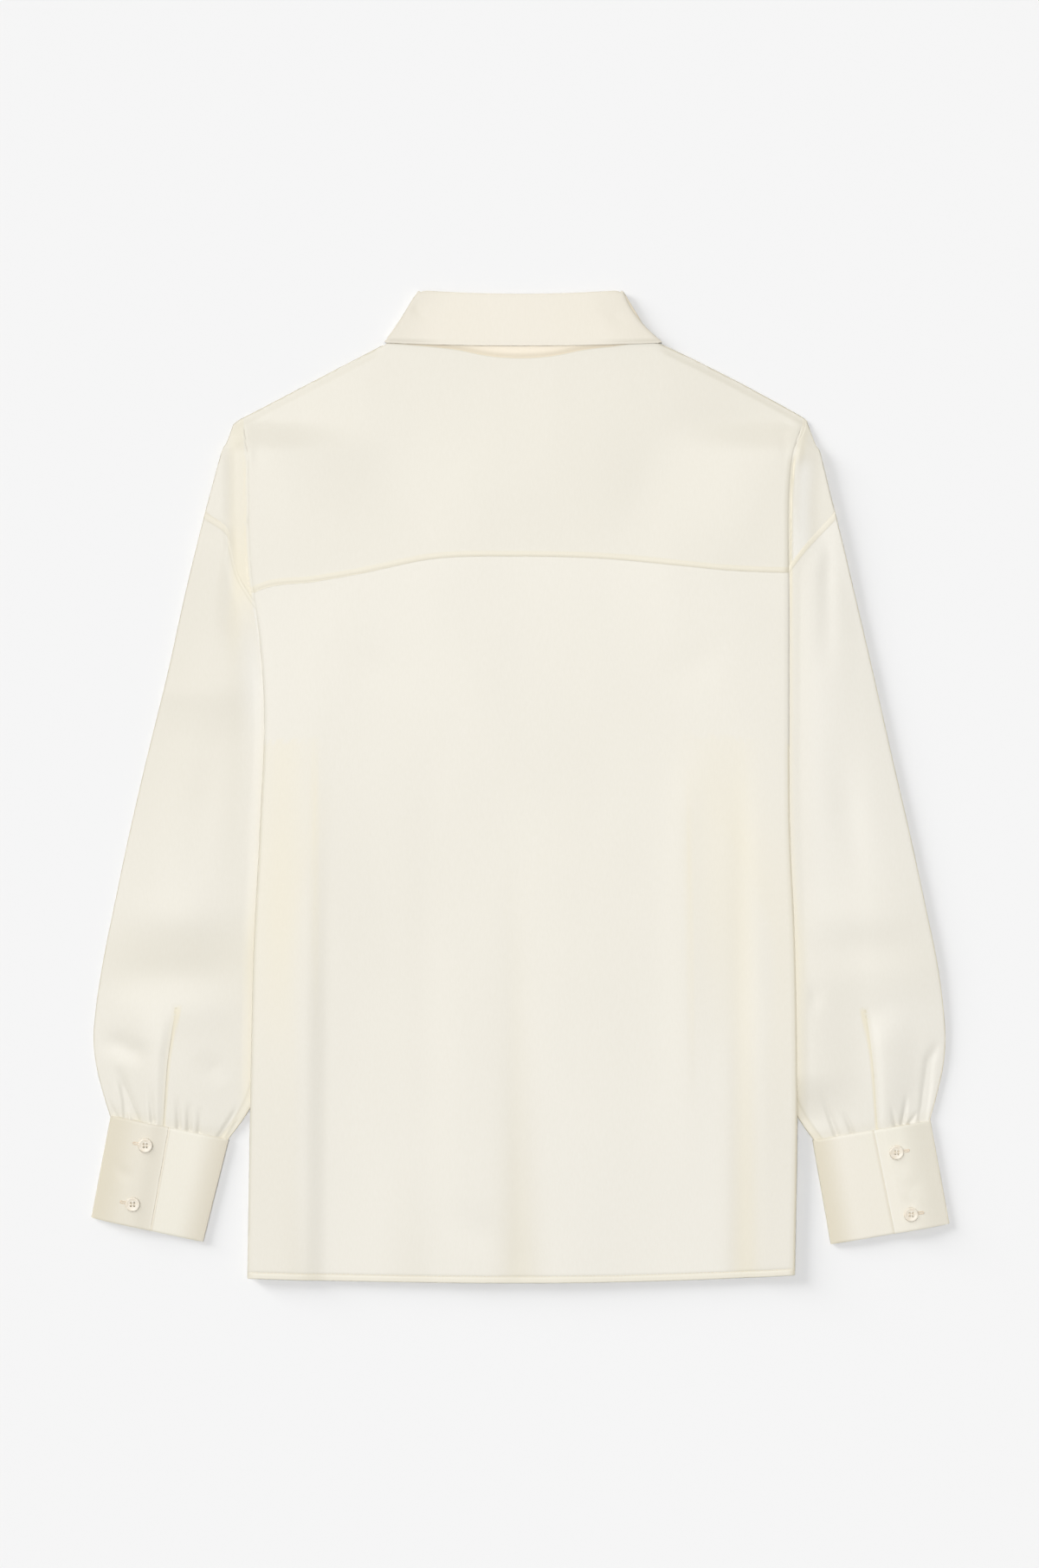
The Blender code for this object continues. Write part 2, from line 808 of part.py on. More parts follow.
def cuff_height(name, across, along, layer):
    """Height of a top layer's middle: layer 1 is the under-part, 2 the over-part on it."""
    crown = CUFF_CROWN * math.sin(math.pi * across) * (0.6 + 0.4 * math.sin(math.pi * along))
    return CUFF_CLOTH / 2 + CUFF_LIFT * layer + crown


def cuff_section(name, along):
    """One row, from the over-part's edge outwards, under the cuff to the end beneath."""
    lap = cuff_lap(name, along)
    under_end = lap - CUFF_LAP / cuff_width(name)
    points = []
    for across, layer in ((lap, 2), (lap - 0.12, 2), (under_end, 2), (0.06, 1.35), (0, 1)):
        height = cuff_height(name, across, along, layer)
        points.append((*cuff_place(name, across, along), height))
    points += cuff_fold(name, along, 0, 1)
    for across in (0, 0.5, 1):
        points.append((*cuff_place(name, across, along), CUFF_CLOTH / 2))
    points += cuff_fold(name, along, 1, -1)
    for across in (1, 0.76, lap, lap - 0.16, under_end + 0.01):
        height = cuff_height(name, across, along, 1)
        points.append((*cuff_place(name, across, along), height))
    return points


def cuff_fold(name, along, across, start):
    """Points round a side fold of the cuff, from the top (start 1) or from the bottom."""
    x, y = cuff_place(name, across, along)
    other = cuff_place(name, 0.5, along)
    away = unit(x - other[0], y - other[1])
    points = []
    for i in range(1, RING_STEPS):
        angle = math.pi * i / RING_STEPS
        reach = CUFF_LIFT / 2 * math.sin(angle)
        lift = CUFF_LIFT / 2 * (1 + math.cos(angle) * start)
        points.append((x + away[0] * reach, y + away[1] * reach, CUFF_CLOTH / 2 + lift))
    return points


def make_cuff(name, material):
    sheet = Sheet()
    rows = []
    gap = SEAM / math.dist(CUFFS[name]["top_out"], CUFFS[name]["end_out"])
    for along in (gap, 0.5, 1):
        rows.append(sheet.row([(SIDES[name] * x, y, z) for x, y, z in cuff_section(name, along)]))
    for first, second in zip(rows, rows[1:]):
        sheet.join(first, second)
    sheet_object(f"cuff_{name}", sheet.points, sheet.faces, CUFF_CLOTH, material)


# ---------------------------------------------------------------- collar


def neck_place(name, column):
    """Place on the neck seam, just off the edge of the yoke or the front."""
    out = COLLAR.at("seam_out", column)
    if column <= COLLAR_FOLD_END:
        return out, BACK_NECK.at("y", out) + 2 * SEAM
    if out > NECK_HALF - SHOULDER_RETURN:
        return out, shoulder_y(name, out) - SHOULDER_RETURN
    return out, front_top_y(name, out) + 1.5 * SEAM


class CollarColumn:
    """One line across the collar, from its neck seam over the roll to its outer edge."""

    def __init__(self, name, column):
        self.side = SIDES[name]
        self.roll = (COLLAR.at("roll_out", column), COLLAR.at("roll_y", column))
        self.edge = (COLLAR.at(f"edge_{name}", column), COLLAR.at("edge_y", column))
        self.seam = neck_place(name, column)
        self.turn = math.pi * COLLAR.at("turn", column)
        self.up = unit(self.roll[0] - self.edge[0], self.roll[1] - self.edge[1])
        self.away = (self.up[1], -self.up[0])

    def point(self, place, radius, lift=0.0):
        """A point over a place from above, this far from the axis that the collar turns round."""
        reach = radius * math.sin(self.turn)
        out = place[0] + self.away[0] * reach + self.up[0] * lift
        y = place[1] + self.away[1] * reach + self.up[1] * lift
        z = COLLAR_MIDDLE + radius * math.cos(self.turn)
        return self.side * out, y, z

    def below_roll(self, length):
        return self.roll[0] - self.up[0] * length, self.roll[1] - self.up[1] * length

    def stand(self):
        top = self.below_roll(ROLL_RADIUS + COLLAR_CLOTH / 2 + 2 * SEAM)
        points = []
        for part in (0, 0.5, 1):
            place = tuple(mix(a, b, part) for a, b in zip(self.seam, top))
            out, y, z = self.point(place, STAND_RADIUS)
            points.append((out, y, z + closure_rise(abs(out), y)))
        return points

    def fall(self):
        centre = self.below_roll(ROLL_RADIUS + COLLAR_CLOTH / 2)
        points = []
        for i in range(RING_STEPS + 1):
            angle = math.pi * i / RING_STEPS
            radius = STAND_RADIUS + ROLL_RADIUS * (1 - math.cos(angle))
            points.append(self.point(centre, radius, ROLL_RADIUS * math.sin(angle)))
        for part in (0.5, 1):
            place = tuple(mix(a, b, part) for a, b in zip(centre, self.edge))
            points.append(self.point(place, FALL_RADIUS))
        return points


def collar_columns():
    """Columns round the whole neck, from the left leaf's front to the right one's."""
    last = len(COLLAR.key) - 1
    left = [CollarColumn("left", i) for i in range(last, 0, -1)]
    return left + [CollarColumn("right", i) for i in range(last + 1)]


def stand_end(name):
    """The stand's straight end at the centre front."""
    end = CollarColumn(name, len(COLLAR.key) - 1)
    end.roll = (STAND_END, end.roll[1] - 4)
    end.seam = (STAND_END, front_top_y(name, STAND_END) + 1.5 * SEAM)
    end.up = (0.0, 1.0)
    end.away = (1.0, 0.0)
    return end


def make_collar(material):
    columns = collar_columns()
    fall = Sheet()
    rows = [fall.row(column.fall()) for column in columns]
    for first, second in zip(rows, rows[1:]):
        fall.join(first, second)
    sheet_object("collar_fall", fall.points, fall.faces, COLLAR_CLOTH, material)
    stand = Sheet()
    columns = [stand_end("left"), *columns, stand_end("right")]
    rows = [stand.row(column.stand()) for column in columns]
    for first, second in zip(rows, rows[1:]):
        stand.join(first, second)
    sheet_object("collar_stand", stand.points, stand.faces, COLLAR_CLOTH, material)


# ---------------------------------------------------------------- buttons


def make_button(name, place, material):
    """A flat button with a raised rim, turned from its profile. Its foot is at the place."""
    radius = BUTTON_SPAN / 2
    profile = (
        (0, BUTTON_TALL - 0.4),
        (radius * 0.74, BUTTON_TALL - 0.4),
        (radius * 0.88, BUTTON_TALL),
        (radius, BUTTON_TALL - 0.6),
        (radius * 0.92, 0),
        (0, 0),
    )
    mesh = bpy.data.meshes.new(name)
    points = [(x * MM, 0, z * MM) for x, z in profile]
    mesh.from_pydata(points, [(i, i + 1) for i in range(len(points) - 1)], [])
    mesh.materials.append(material)
    button = bpy.data.objects.new(name, mesh)
    button.location = tuple(v * MM for v in place)
    PARTS.objects.link(button)
    turned = button.modifiers.new("turned", "SCREW")
    turned.steps = BUTTON_STEPS
    turned.render_steps = BUTTON_STEPS
    turned.use_merge_vertices = True
    turned.merge_threshold = 0.00001


def cuff_top(name, out, y):
    """Height of the over-part's outer face at this place."""
    cuff = CUFFS[name]
    along = (cuff["top_out"][1] - y) / (cuff["top_out"][1] - cuff["end_out"][1])
    outer = cuff_place(name, 0, along)
    across = (outer[0] - out) / cuff_width(name)
    return cuff_height(name, across, along, 2) + CUFF_CLOTH / 2


def make_buttons(material):
    for name, side in SIDES.items():
        for end, (out, y) in CUFF_BUTTONS[name].items():
            place = (side * out, y, cuff_top(name, out, y) + SEAM)
            make_button(f"cuff_button_{name}_{end}", place, material)
    for i in range(FRONT_BUTTONS):
        y = FRONT_BUTTON_TOP - i * FRONT_BUTTON_STEP
        face = body_height("right", 0, y) - 1.5 * LIFT - CLOTH / 2
        make_button(f"front_button_{i + 1}", (0, y, face - SEAM - BUTTON_TALL), material)


# ---------------------------------------------------------------- scene


def cloth_material(name, colour, roughness):
    material = bpy.data.materials.new(name)
    material.use_nodes = True
    shader = material.node_tree.nodes["Principled BSDF"]
    shader.inputs["Base Color"].default_value = (*colour, 1)
    shader.inputs["Roughness"].default_value = roughness
    shader.inputs["Metallic"].default_value = 0.0
    return material


def main():
    for obj in list(bpy.data.objects):
        bpy.data.objects.remove(obj, do_unlink=True)
    bpy.context.scene.collection.children.link(PARTS)
    satin = cloth_material("ivory_satin", (0.86, 0.83, 0.74), 0.5)
    make_yoke(satin)
    make_back(satin)
    make_collar(satin)
    for name in SIDES:
        make_front(name, satin)
        make_sleeve(name, satin)
        make_cuff(name, satin)
    make_buttons(cloth_material("shell_button", (0.80, 0.75, 0.62), 0.3))


PARTS = bpy.data.collections.new("blouse")
main()
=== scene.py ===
"""The look of a cream blouse laid flat, back up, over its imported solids.

Sizes are in millimetres until a mesh is made. X runs across the garment, Y up towards the
collar and Z up from the surface, Z = 0. The wearer's left is at -X, and "out" is the
distance from the centre line to either side. Each piece of cloth is a thin shell on the
form of its solid, on a finer grid, with its creases added as soft ridges and troughs.
"""

import math

import bmesh
import bpy
import numpy as np
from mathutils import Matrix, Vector


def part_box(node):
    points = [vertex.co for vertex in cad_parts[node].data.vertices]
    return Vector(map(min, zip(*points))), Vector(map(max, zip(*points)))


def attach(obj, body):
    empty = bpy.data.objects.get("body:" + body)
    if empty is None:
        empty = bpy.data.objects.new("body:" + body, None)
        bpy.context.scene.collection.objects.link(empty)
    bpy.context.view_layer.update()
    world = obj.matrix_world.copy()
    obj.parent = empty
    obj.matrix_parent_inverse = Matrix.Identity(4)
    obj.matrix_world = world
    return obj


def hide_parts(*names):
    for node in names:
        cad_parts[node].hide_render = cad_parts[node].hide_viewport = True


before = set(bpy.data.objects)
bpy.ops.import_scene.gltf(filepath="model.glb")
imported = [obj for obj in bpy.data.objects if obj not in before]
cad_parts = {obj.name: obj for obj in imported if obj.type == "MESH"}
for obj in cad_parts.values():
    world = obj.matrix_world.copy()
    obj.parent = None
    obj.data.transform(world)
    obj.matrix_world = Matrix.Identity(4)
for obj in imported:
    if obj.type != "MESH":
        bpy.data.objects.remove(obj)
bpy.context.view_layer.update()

MM = 0.001
SIDES = {"left": -1, "right": 1}

# Cloth and how it stacks, as in the solids
SHELL = 0.8  # thickness of a shown layer
LIFT = 1.35  # from one layer's middle to the next one's
CLOTH = 1.0  # thickness of a solid's layer
SKIN = (CLOTH + LIFT) / 2  # from the middle of a pair of layers to its face
ON_FLOOR = SKIN
SEAM = 0.3  # gap between sewn pieces

# The neck, and the closure that lies under the back's middle
NECK_HALF = 106.0
COLLAR_CLOTH = 1.1
LEAF_LIFT = 1.55  # what the collar's leaves lift the cloth above them
LEAF_REACH = (112.0, 72.0)  # how far, across and along from LEAF_Y
LEAF_Y = 330.0
BUTTON_SPAN = 11.5
BUTTON_TALL = 1.9
FRONT_BUTTONS = 7
LAP_HALF = 18.0
CLOSURE_LIFT = LIFT + BUTTON_TALL + 0.5  # the second front and the buttons
CLOSURE_AIR = 0.3
CLOSURE_TOP = 322.0
CLOSURE_FULL = 227.0
BRIDGE_HALF = 205.0  # the back spans the layers below it over this much of each half

# The body's edge, from the shoulder down
BODY_HALF = 213.0  # about
FOLD_CLEAR = 7.0  # creases fade out over this much beside the fold
CORNER_Y = 291.0  # where the shoulder meets the body's edge
FOLDED_Y = 262.0  # the pleat beside the body is whole from here down
PLEAT_LAYERS = 4
PLEAT_LEAD = 1.5  # straight cloth in the pleat's bends where it is only forming
UNDERARM_Y = 34.0
SHOULDER_RETURN = 6.0
SHOULDER_SLANT = 1.16  # a distance along Y, over one square to the shoulder
EDGE_RETURN = 0.6  # the return down the dropped shoulder
DROPPED_OUT = 228.0  # the dropped shoulder's fold, about
ARMHOLE_TOP = 216.5
FRONT_SINK = 0.6  # share of the shoulder's roll that a front doesn't follow
FRONT_SET_BACK_Y = 205.5  # a front's edge stays inside the yoke's down to here
HEM_ROLL = 0.28
HEM_WIDE = 4.7

# The sleeves and cuffs
SLEEVE_LONG = 500.0
SLEEVE_WIDE = 110.0  # at the slit
SLEEVE_SLANT = 0.66  # a distance square to the lower edge, over one across the garment
SLIT_PLACE = 0.45  # across the sleeve's top, from its outer fold
SLIT_TOP = 0.77  # along the sleeve, from its armhole
SLIT_OPEN = 0.85
SLIT_LAP = 9.0
BOW_END = 0.35  # how far down the sleeve the armhole's curve fades out
ARMHOLE_STRETCHES = 6  # between the body's rows that meet it
CUFF_CLOTH = 1.4
CUFF_LIFT = 1.75
CUFF_CROWN = 1.3
CUFF_ROUND = 26.0  # how far in from a fold the cuff is rounded
CUFF_LAP = 30.0
CUFF_LONG = 84.0
CUFF_PART = 45.0  # width of the over-part, about

# How fine the grids are
ARC_STEPS = 8
FLAT_STEPS = 70
TURNED_STEPS = 14
DROPPED_STEPS = 20
DROPPED_PARTS = np.append(0.965 * np.linspace(0, 1, DROPPED_STEPS - 1) ** 1.3, (0.985, 1.0))
TOP_STEPS = 46
UNDER_STEPS = 24
CUFF_UNDER_STEPS = 20
ROW_STEP = 3.5
# distances of the finer rows beside a seam or the hem
SEAM_FINE = (9, 7.5, 6, 5.2, 4.6, 4, 3.2, 2.2, 1.4, 0.9, 0.5, 0)
TOP_FINE = (0, 0.4, 0.9, 1.5, 2.2, 3.0, 3.8, 4.6, 5.4, 6.4, 7.6, 8.8)
SEAM_FINE_BELOW = (0, 0.5, 0.9, 1.4, 2.2, 3.4)
HEM_FINE = (9, 7.5, 6.2, 5.6, 5.2, 4.8, 4.4, 4, 3.4, 2.4, 1.2, 0.5, 0)


class Table:
    """Rows of sizes with named columns, read between rows along smooth curves."""

    def __init__(self, names, *rows):
        self.columns = dict(zip(names.split(), np.array(sorted(rows), float).T))
        self.key = self.columns[names.split()[0]]

    def at(self, name, key):
        keys = self.key
        values = self.columns[name]
        slopes = np.gradient(values, keys)
        key = np.clip(key, keys[0], keys[-1])
        i = np.clip(np.searchsorted(keys, key) - 1, 0, len(keys) - 2)
        span = keys[i + 1] - keys[i]
        t = (key - keys[i]) / span
        low = values[i] * (1 + 2 * t) + slopes[i] * span * t
        high = values[i + 1] * (3 - 2 * t) - slopes[i + 1] * span * (1 - t)
        return (1 - t) ** 2 * low + t * t * high


# The fold down each side of the body
BODY_EDGE = Table(
    "y left right",
    (291, 218, 223),
    (276, 217.5, 219.5),
    (262, 217, 216.5),
    (233, 216.5, 213.5),
    (196, 216, 213),
    (158, 213, 213),
    (120, 207, 213),
    (84, 203.5, 213),
    (-36, 206, 213.5),
    (-117, 210.3, 217),
    (-250, 213.5, 219),
    (-392, 216, 217),
)
# How far in the body's cloth is turned under there: to the pleat's inner bend and, from the
# underarm down, to the end of the side's flap
TURNED_EDGE = Table(
    "y left right",
    (291, 217, 217),
    (262, 213, 213),
    (240, 203.5, 203.5),
    (142, 167.5, 167.5),
    (34, 127, 127),
    (-10, 134, 136),
    (-50, 154, 162),
    (-95, 166, 182),
    (-240, 166, 184),
    (-392, 166, 184),
)
# The inner edge of what lies below the body's side: the pleat, then the sleeve
SLEEVE_EDGE = Table(
    "y left right",
    (291, 216, 217),
    (250, 207.5, 207.5),
    (142, 167.5, 167.5),
    (34, 127, 127),
    (-20, 139, 139),
    (-80, 156, 156),
    (-140, 176, 176),
    (-200, 197, 198),
    (-255, 213.7, 215),
    (-278.5, 230.5, 230.8),
    (-300, 250, 250),
    (-392, 264, 264),
)
# The outer fold of the dropped shoulder and the sleeve
OUTLINE = Table(
    "y left right",
    (285, 226.5, 227),
    (269.5, 234.3, 235),
    (252, 239.6, 239.9),
    (234, 244.5, 244.3),
    (216, 249.3, 248.9),
    (149, 265.8, 265),
    (87, 279.5, 279.5),
    (26, 294.6, 293.2),
    (-36, 309, 307.6),
    (-98, 322, 321),
    (-139, 330.2, 329.5),
    (-180, 336.3, 335),
    (-200, 337.8, 336.2),
    (-221, 335.6, 334.6),
    (-242, 330.5, 330),
    (-263, 324, 324.3),
)
# The seam between the dropped shoulder and the sleeve, which runs in under the body
ARMHOLE = Table(
    "y left right",
    (216.5, 249.3, 248.7),
    (205, 232.5, 238),
    (190, 229, 224.5),
    (168, 223, 208),
    (140, 206, 189),
    (100, 178, 167),
    (64, 152, 149),
    (34, 131.5, 131.5),
)
BACK_NECK = Table("out y", (-25, 339.7), (0, 338), (25, 339.7), (50, 344.6), (80, 347.8), (106, 349.3))
YOKE_SEAM = Table(
    "out left right",
    (-70, 179.2, 179.2),
    (0, 181.2, 181.2),
    (70, 179.2, 179.2),
    (128, 167.5, 173.7),
    (164, 161.5, 170.2),
    (203, 156.5, 168.4),
    (213, 152.4, 168.2),
)
# the shoulder's neck end, over the neckline's own, and the bow of its line
SHOULDER_HIGHER = {"left": 0.6, "right": 2.6}
SHOULDER_BOW = {"left": 0.0, "right": 1.6}
HEM_MIDDLE = -392.2
HEM_RISE = {"left": 3.5, "right": 6.2}
FRONT_NECK_DROP = 74.0

# Heights at the body's edges of the yoke's rows and the lower body's
YOKE_ROWS = Table(
    "row left right",
    (0, 291, 291),
    (1, 281, 281),
    (2, 270, 270),
    (3, 262, 262),
    (4, 240, 240),
    (5, 216.5, 216.5),
    (6, 205, 205),
    (7, 187, 190),
    (8, 152.4, 168.2),
)
BODY_ROWS = (126, 80, UNDERARM_Y, 6, -40, -92, -150, -215, -262, -320)

# How far the sleeve's top layer stands over its flat, midway across what shows of it
SLEEVE_PUFF = Table(
    "y left right",
    (216, 0.0, 0.0),
    (190, 0.5, 0.5),
    (120, 1.2, 1.2),
    (0, 1.8, 1.8),
    (-80, 2.3, 2.2),
    (-106, 2.6, 2.5),
    (-128, 1.8, 1.6),
    (-150, 1.2, 2.1),
    (-178, 2.7, 1.8),
    (-200, 2.4, 2.0),
    (-230, 2.2, 2.2),
    (-255, 1.8, 1.8),
    (-280, 1.3, 1.3),
)

# Corners of the cuffs, and where the over-part's edge lies across them
CUFFS = {
    "left": dict(
        top_out=(324, -261), top_in=(230.5, -279.5), end_out=(339.3, -341.5),
        end_in=(250.7, -360), lap_top=0.49, lap_end=0.53,
    ),
    "right": dict(
        top_out=(324.3, -265), top_in=(230.8, -280), end_out=(339.3, -346.3),
        end_in=(245.2, -362), lap_top=0.48, lap_end=0.46,
    ),
}
CUFF_BUTTONS = {
    "left": dict(upper=(296, -284), lower=(306, -330.5)),
    "right": dict(upper=(297, -289.5), lower=(308.5, -338.5)),
}
# Lines across the collar: where its roll and its edge are, and its seam on the neck
COLLAR = Table(
    "column roll_out roll_y edge_left edge_right edge_y seam_out",
    (0, 0, 388.9, 0, 0, 347.6, 0),
    (1, 32, 389.4, 42, 43, 347.9, 47.3),
    (2, 58, 390.5, 76, 78, 348.8, 76.7),
    (3, 78.4, 391.6, 104.4, 108.9, 349.9, 104.4),
    (4, 78.4, 391.6, 104.4, 108.9, 349.9, 104.4),
    (5, 78.4, 391.6, 104.4, 108.9, 349.9, 104.4),
    (6, 78.4, 391.6, 104.4, 108.9, 349.9, 104.4),
    (7, 71, 382, 97, 100, 337, 101.8),
    (8, 48, 352, 79, 80, 306, 76.7),
    (9, 28, 326, 63, 63, 284, 47.3),
    (10, 12, 305, 50, 50, 266, 18),
)
COLLAR_BOW = {"left": 1.0, "right": 5.0}
COLLAR_SHELL = 0.7
FALL_DROP = 0.1
STAND_TUCK = 1.5
STAND_RAISE = 0.3
COLLAR_FOLD_START = 3  # the columns between which the leaf turns under
COLLAR_FOLD_END = 6
STAND_END = 0.6
COLLAR_MIDDLE = ON_FLOOR + LEAF_LIFT
STAND_RADIUS = LIFT / 2
FALL_RADIUS = COLLAR_MIDDLE - COLLAR_CLOTH / 2
ROLL_RADIUS = (FALL_RADIUS - STAND_RADIUS) / 2
HOLE_APART = 1.25
HOLE_WIDE = 1.5

# The studio: shares of the light that each lamp gives to level cloth or to the floor, what
# flat cloth shows of it all, and the camera
SKY = 0.288
OVERHEAD = 0.594
FILL = 0.08
LOW_LIGHT = 0.2
FLOOR_LIGHT = 0.29
FLAT_LIGHT = 1.115
FLAT_GLOSS = 0.127
FLOOR_BASE = 0.785
FLOOR_HALF = 6.0
FLOOR_GAP = 0.0003
WALL_AWAY = 7.5
WALL_TALL = 5.0
WALL_STEPS = 96
WALL_SHOWN = 0.92
FRAME_LONG = 1240.5
FRAME_CENTRE = (-0.7, 1.4)
CAMERA_HEIGHT = 3000.0
SENSOR = 36.0


def smooth(t):
    t = np.clip(t, 0.0, 1.0)
    return t * t * (3 - 2 * t)


def ramp(value, start, end):
    """0 up to start and 1 from end on, with a smooth slope between. End may be the lower."""
    return smooth((value - start) / (end - start))


def mix(a, b, t):
    return a + (b - a) * t


def bell(distance, width=0.8):
    """1 on a line, and fading to both sides over about this width."""
    return np.exp(-((distance / width) ** 2))


def by_side(name, left, right):
    return left if name == "left" else right


def unit(x, y):
    size = np.hypot(x, y)
    return x / size, y / size


def spread(knots, counts):
    """Each stretch between knots cut into a number of equal steps."""
    cut = [np.linspace(a, b, n + 1)[:-1] for a, b, n in zip(knots, knots[1:], counts)]
    return np.concatenate([*cut, [knots[-1]]])


# ---------------------------------------------------------------- heights of the stack


def pleat_share(y):
    """How much of the pleat beside the body is folded."""
    return ramp(y, CORNER_Y, FOLDED_Y)


def pleat_drop(y):
    return PLEAT_LAYERS * LIFT * pleat_share(y)


def rise(out, edge, wide):
    """The slope of cloth that climbs onto a layer whose edge is here."""
    return ramp(out, edge - wide, edge)


def on_sleeve(name, out, y, wide):
    return rise(out, SLEEVE_EDGE.at(name, y) - 6, wide)


def on_flap(name, out, y, wide):
    return rise(out, TURNED_EDGE.at(name, y) - 3, wide)


def slope_wide(y, at_hem):
    """Width of the slope onto a layer below: this at the hem, and 60 under the arm."""
    return mix(at_hem, 60.0, ramp(y, -60, UNDERARM_Y))


def leaf_share(out, up):
    """Share of the collar leaves' lift at a place this far out and up from their middle."""
    return ramp(np.hypot(out / LEAF_REACH[0], up / LEAF_REACH[1]), 1.9, 1.0)


def closure_share(out, y):
    return ramp(out, NECK_HALF, LAP_HALF) * ramp(y, CLOSURE_TOP, CLOSURE_FULL)


def closure_rise(out, y):
    return CLOSURE_LIFT * closure_share(out, y)


def under_height(name, out, y):
    return ON_FLOOR + pleat_drop(y) / 2 * on_sleeve(name, out, y, slope_wide(y, 45.0))


def body_height(name, out, y):
    turned = pleat_drop(y) / 2 * on_flap(name, out, y, slope_wide(y, 14.0))
    leaves = LEAF_LIFT * leaf_share(out, y - LEAF_Y)
    return under_height(name, out, y) + turned + leaves + closure_rise(out, y)


def back_dip(name, out, y):
    """The back sinks a little inside the flaps that are turned below it."""
    deep, edge, wide = by_side(name, (1.9, 167.0, 20.0), (1.1, 188.0, 26.0))
    edge = edge + 5 * ramp(y, 100, -350)
    return deep * ramp(y, 90, -270) * (1 - rise(out, edge, wide)) * ramp(out, 20, 140)


def back_height(name, out, y):
    """The same for the back alone, which bridges the steps between the layers below it."""
    layers = pleat_drop(y) * mix(0.78, 1.0, ramp(y, -370, -200))
    steps = (on_sleeve(name, out, y, 110) + on_flap(name, out, y, 110)) / 2
    bridged = ramp(out, 0, BRIDGE_HALF)
    sides = layers * mix(steps, bridged, ramp(y, FOLDED_Y, 152))
    middle = mix(LEAF_LIFT, CLOSURE_LIFT, ramp(y, LEAF_Y, 220))
    leaves = leaf_share(out, np.clip(y - LEAF_Y, 0, None))
    across = mix(leaves, 1 - bridged, ramp(y, LEAF_Y, 210))
    return ON_FLOOR + sides + middle * across - back_dip(name, out, y)


def front_height(name, out, y):
    return np.minimum(body_height(name, out, y), back_height(name, out, y))


def past_edge(name, out, y):
    """Distance outwards from the body's fold."""
    return out - BODY_EDGE.at(name, y)


def shoulder_ridge(name, out, y):
    """The soft roll of cloth beside the body's edge, from the corner down."""
    past = past_edge(name, out, y)
    high = ramp(y, 110, 220)
    outer = (0.34 + 0.28 * high) * ramp(y, -240, -120)
    if name == "left":
        flat, wide = 7.0, mix(14, 30, ramp(y, 200, 120))
        share = 0.97 * ramp(y, 30, 160)
        outer = outer * (0.7 + 0.3 * high)
    else:
        flat, wide = 0.0, mix(24, 56, ramp(y, 215, 125))
        share = mix(0.78, 0.94, ramp(y, 120, 210)) * ramp(y, -266, -226)
    shape = mix(share, np.minimum(outer, share), ramp(past, flat, flat + wide))
    return pleat_drop(y) * shape * ramp(past, -7.5, -3.5)


# ---------------------------------------------------------------- rows of the body


def shoulder_y(name, out):
    top = BACK_NECK.at("y", NECK_HALF) - SKIN
    part = (out - NECK_HALF) / (BODY_EDGE.at(name, CORNER_Y) - NECK_HALF)
    higher = SHOULDER_HIGHER[name] * mix(ramp(out, 70, NECK_HALF), 1 - part, out > NECK_HALF)
    line = np.where(out <= NECK_HALF, BACK_NECK.at("y", out), mix(top, CORNER_Y, part))
    return line + higher + SHOULDER_BOW[name] * 4 * np.clip(part * (1 - part), 0, 1)


def front_top_y(name, out):
    side = shoulder_y(name, NECK_HALF) - (SHOULDER_RETURN + SEAM) * SHOULDER_SLANT
    neck = side - FRONT_NECK_DROP * (1 - (np.clip(out, 0, NECK_HALF) / NECK_HALF) ** 1.5)
    return np.where(out >= NECK_HALF, shoulder_y(name, out), neck)


def shoulder_return(out):
    """How far the edge turns under along the shoulder, or the least of it further down."""
    return np.maximum(SHOULDER_RETURN * ramp(out, 216, 186), EDGE_RETURN)


def hem_y(name, out):
    edge = BODY_EDGE.at(name, HEM_MIDDLE)
    return HEM_MIDDLE + HEM_RISE[name] * (out / edge) ** 2


def yoke_seam_y(name, out):
    return YOKE_SEAM.at(name, out)


def above_hem(name, out, y):
    return y - hem_y(name, out)


def above_seam(name, out, y):
    return y - yoke_seam_y(name, out)


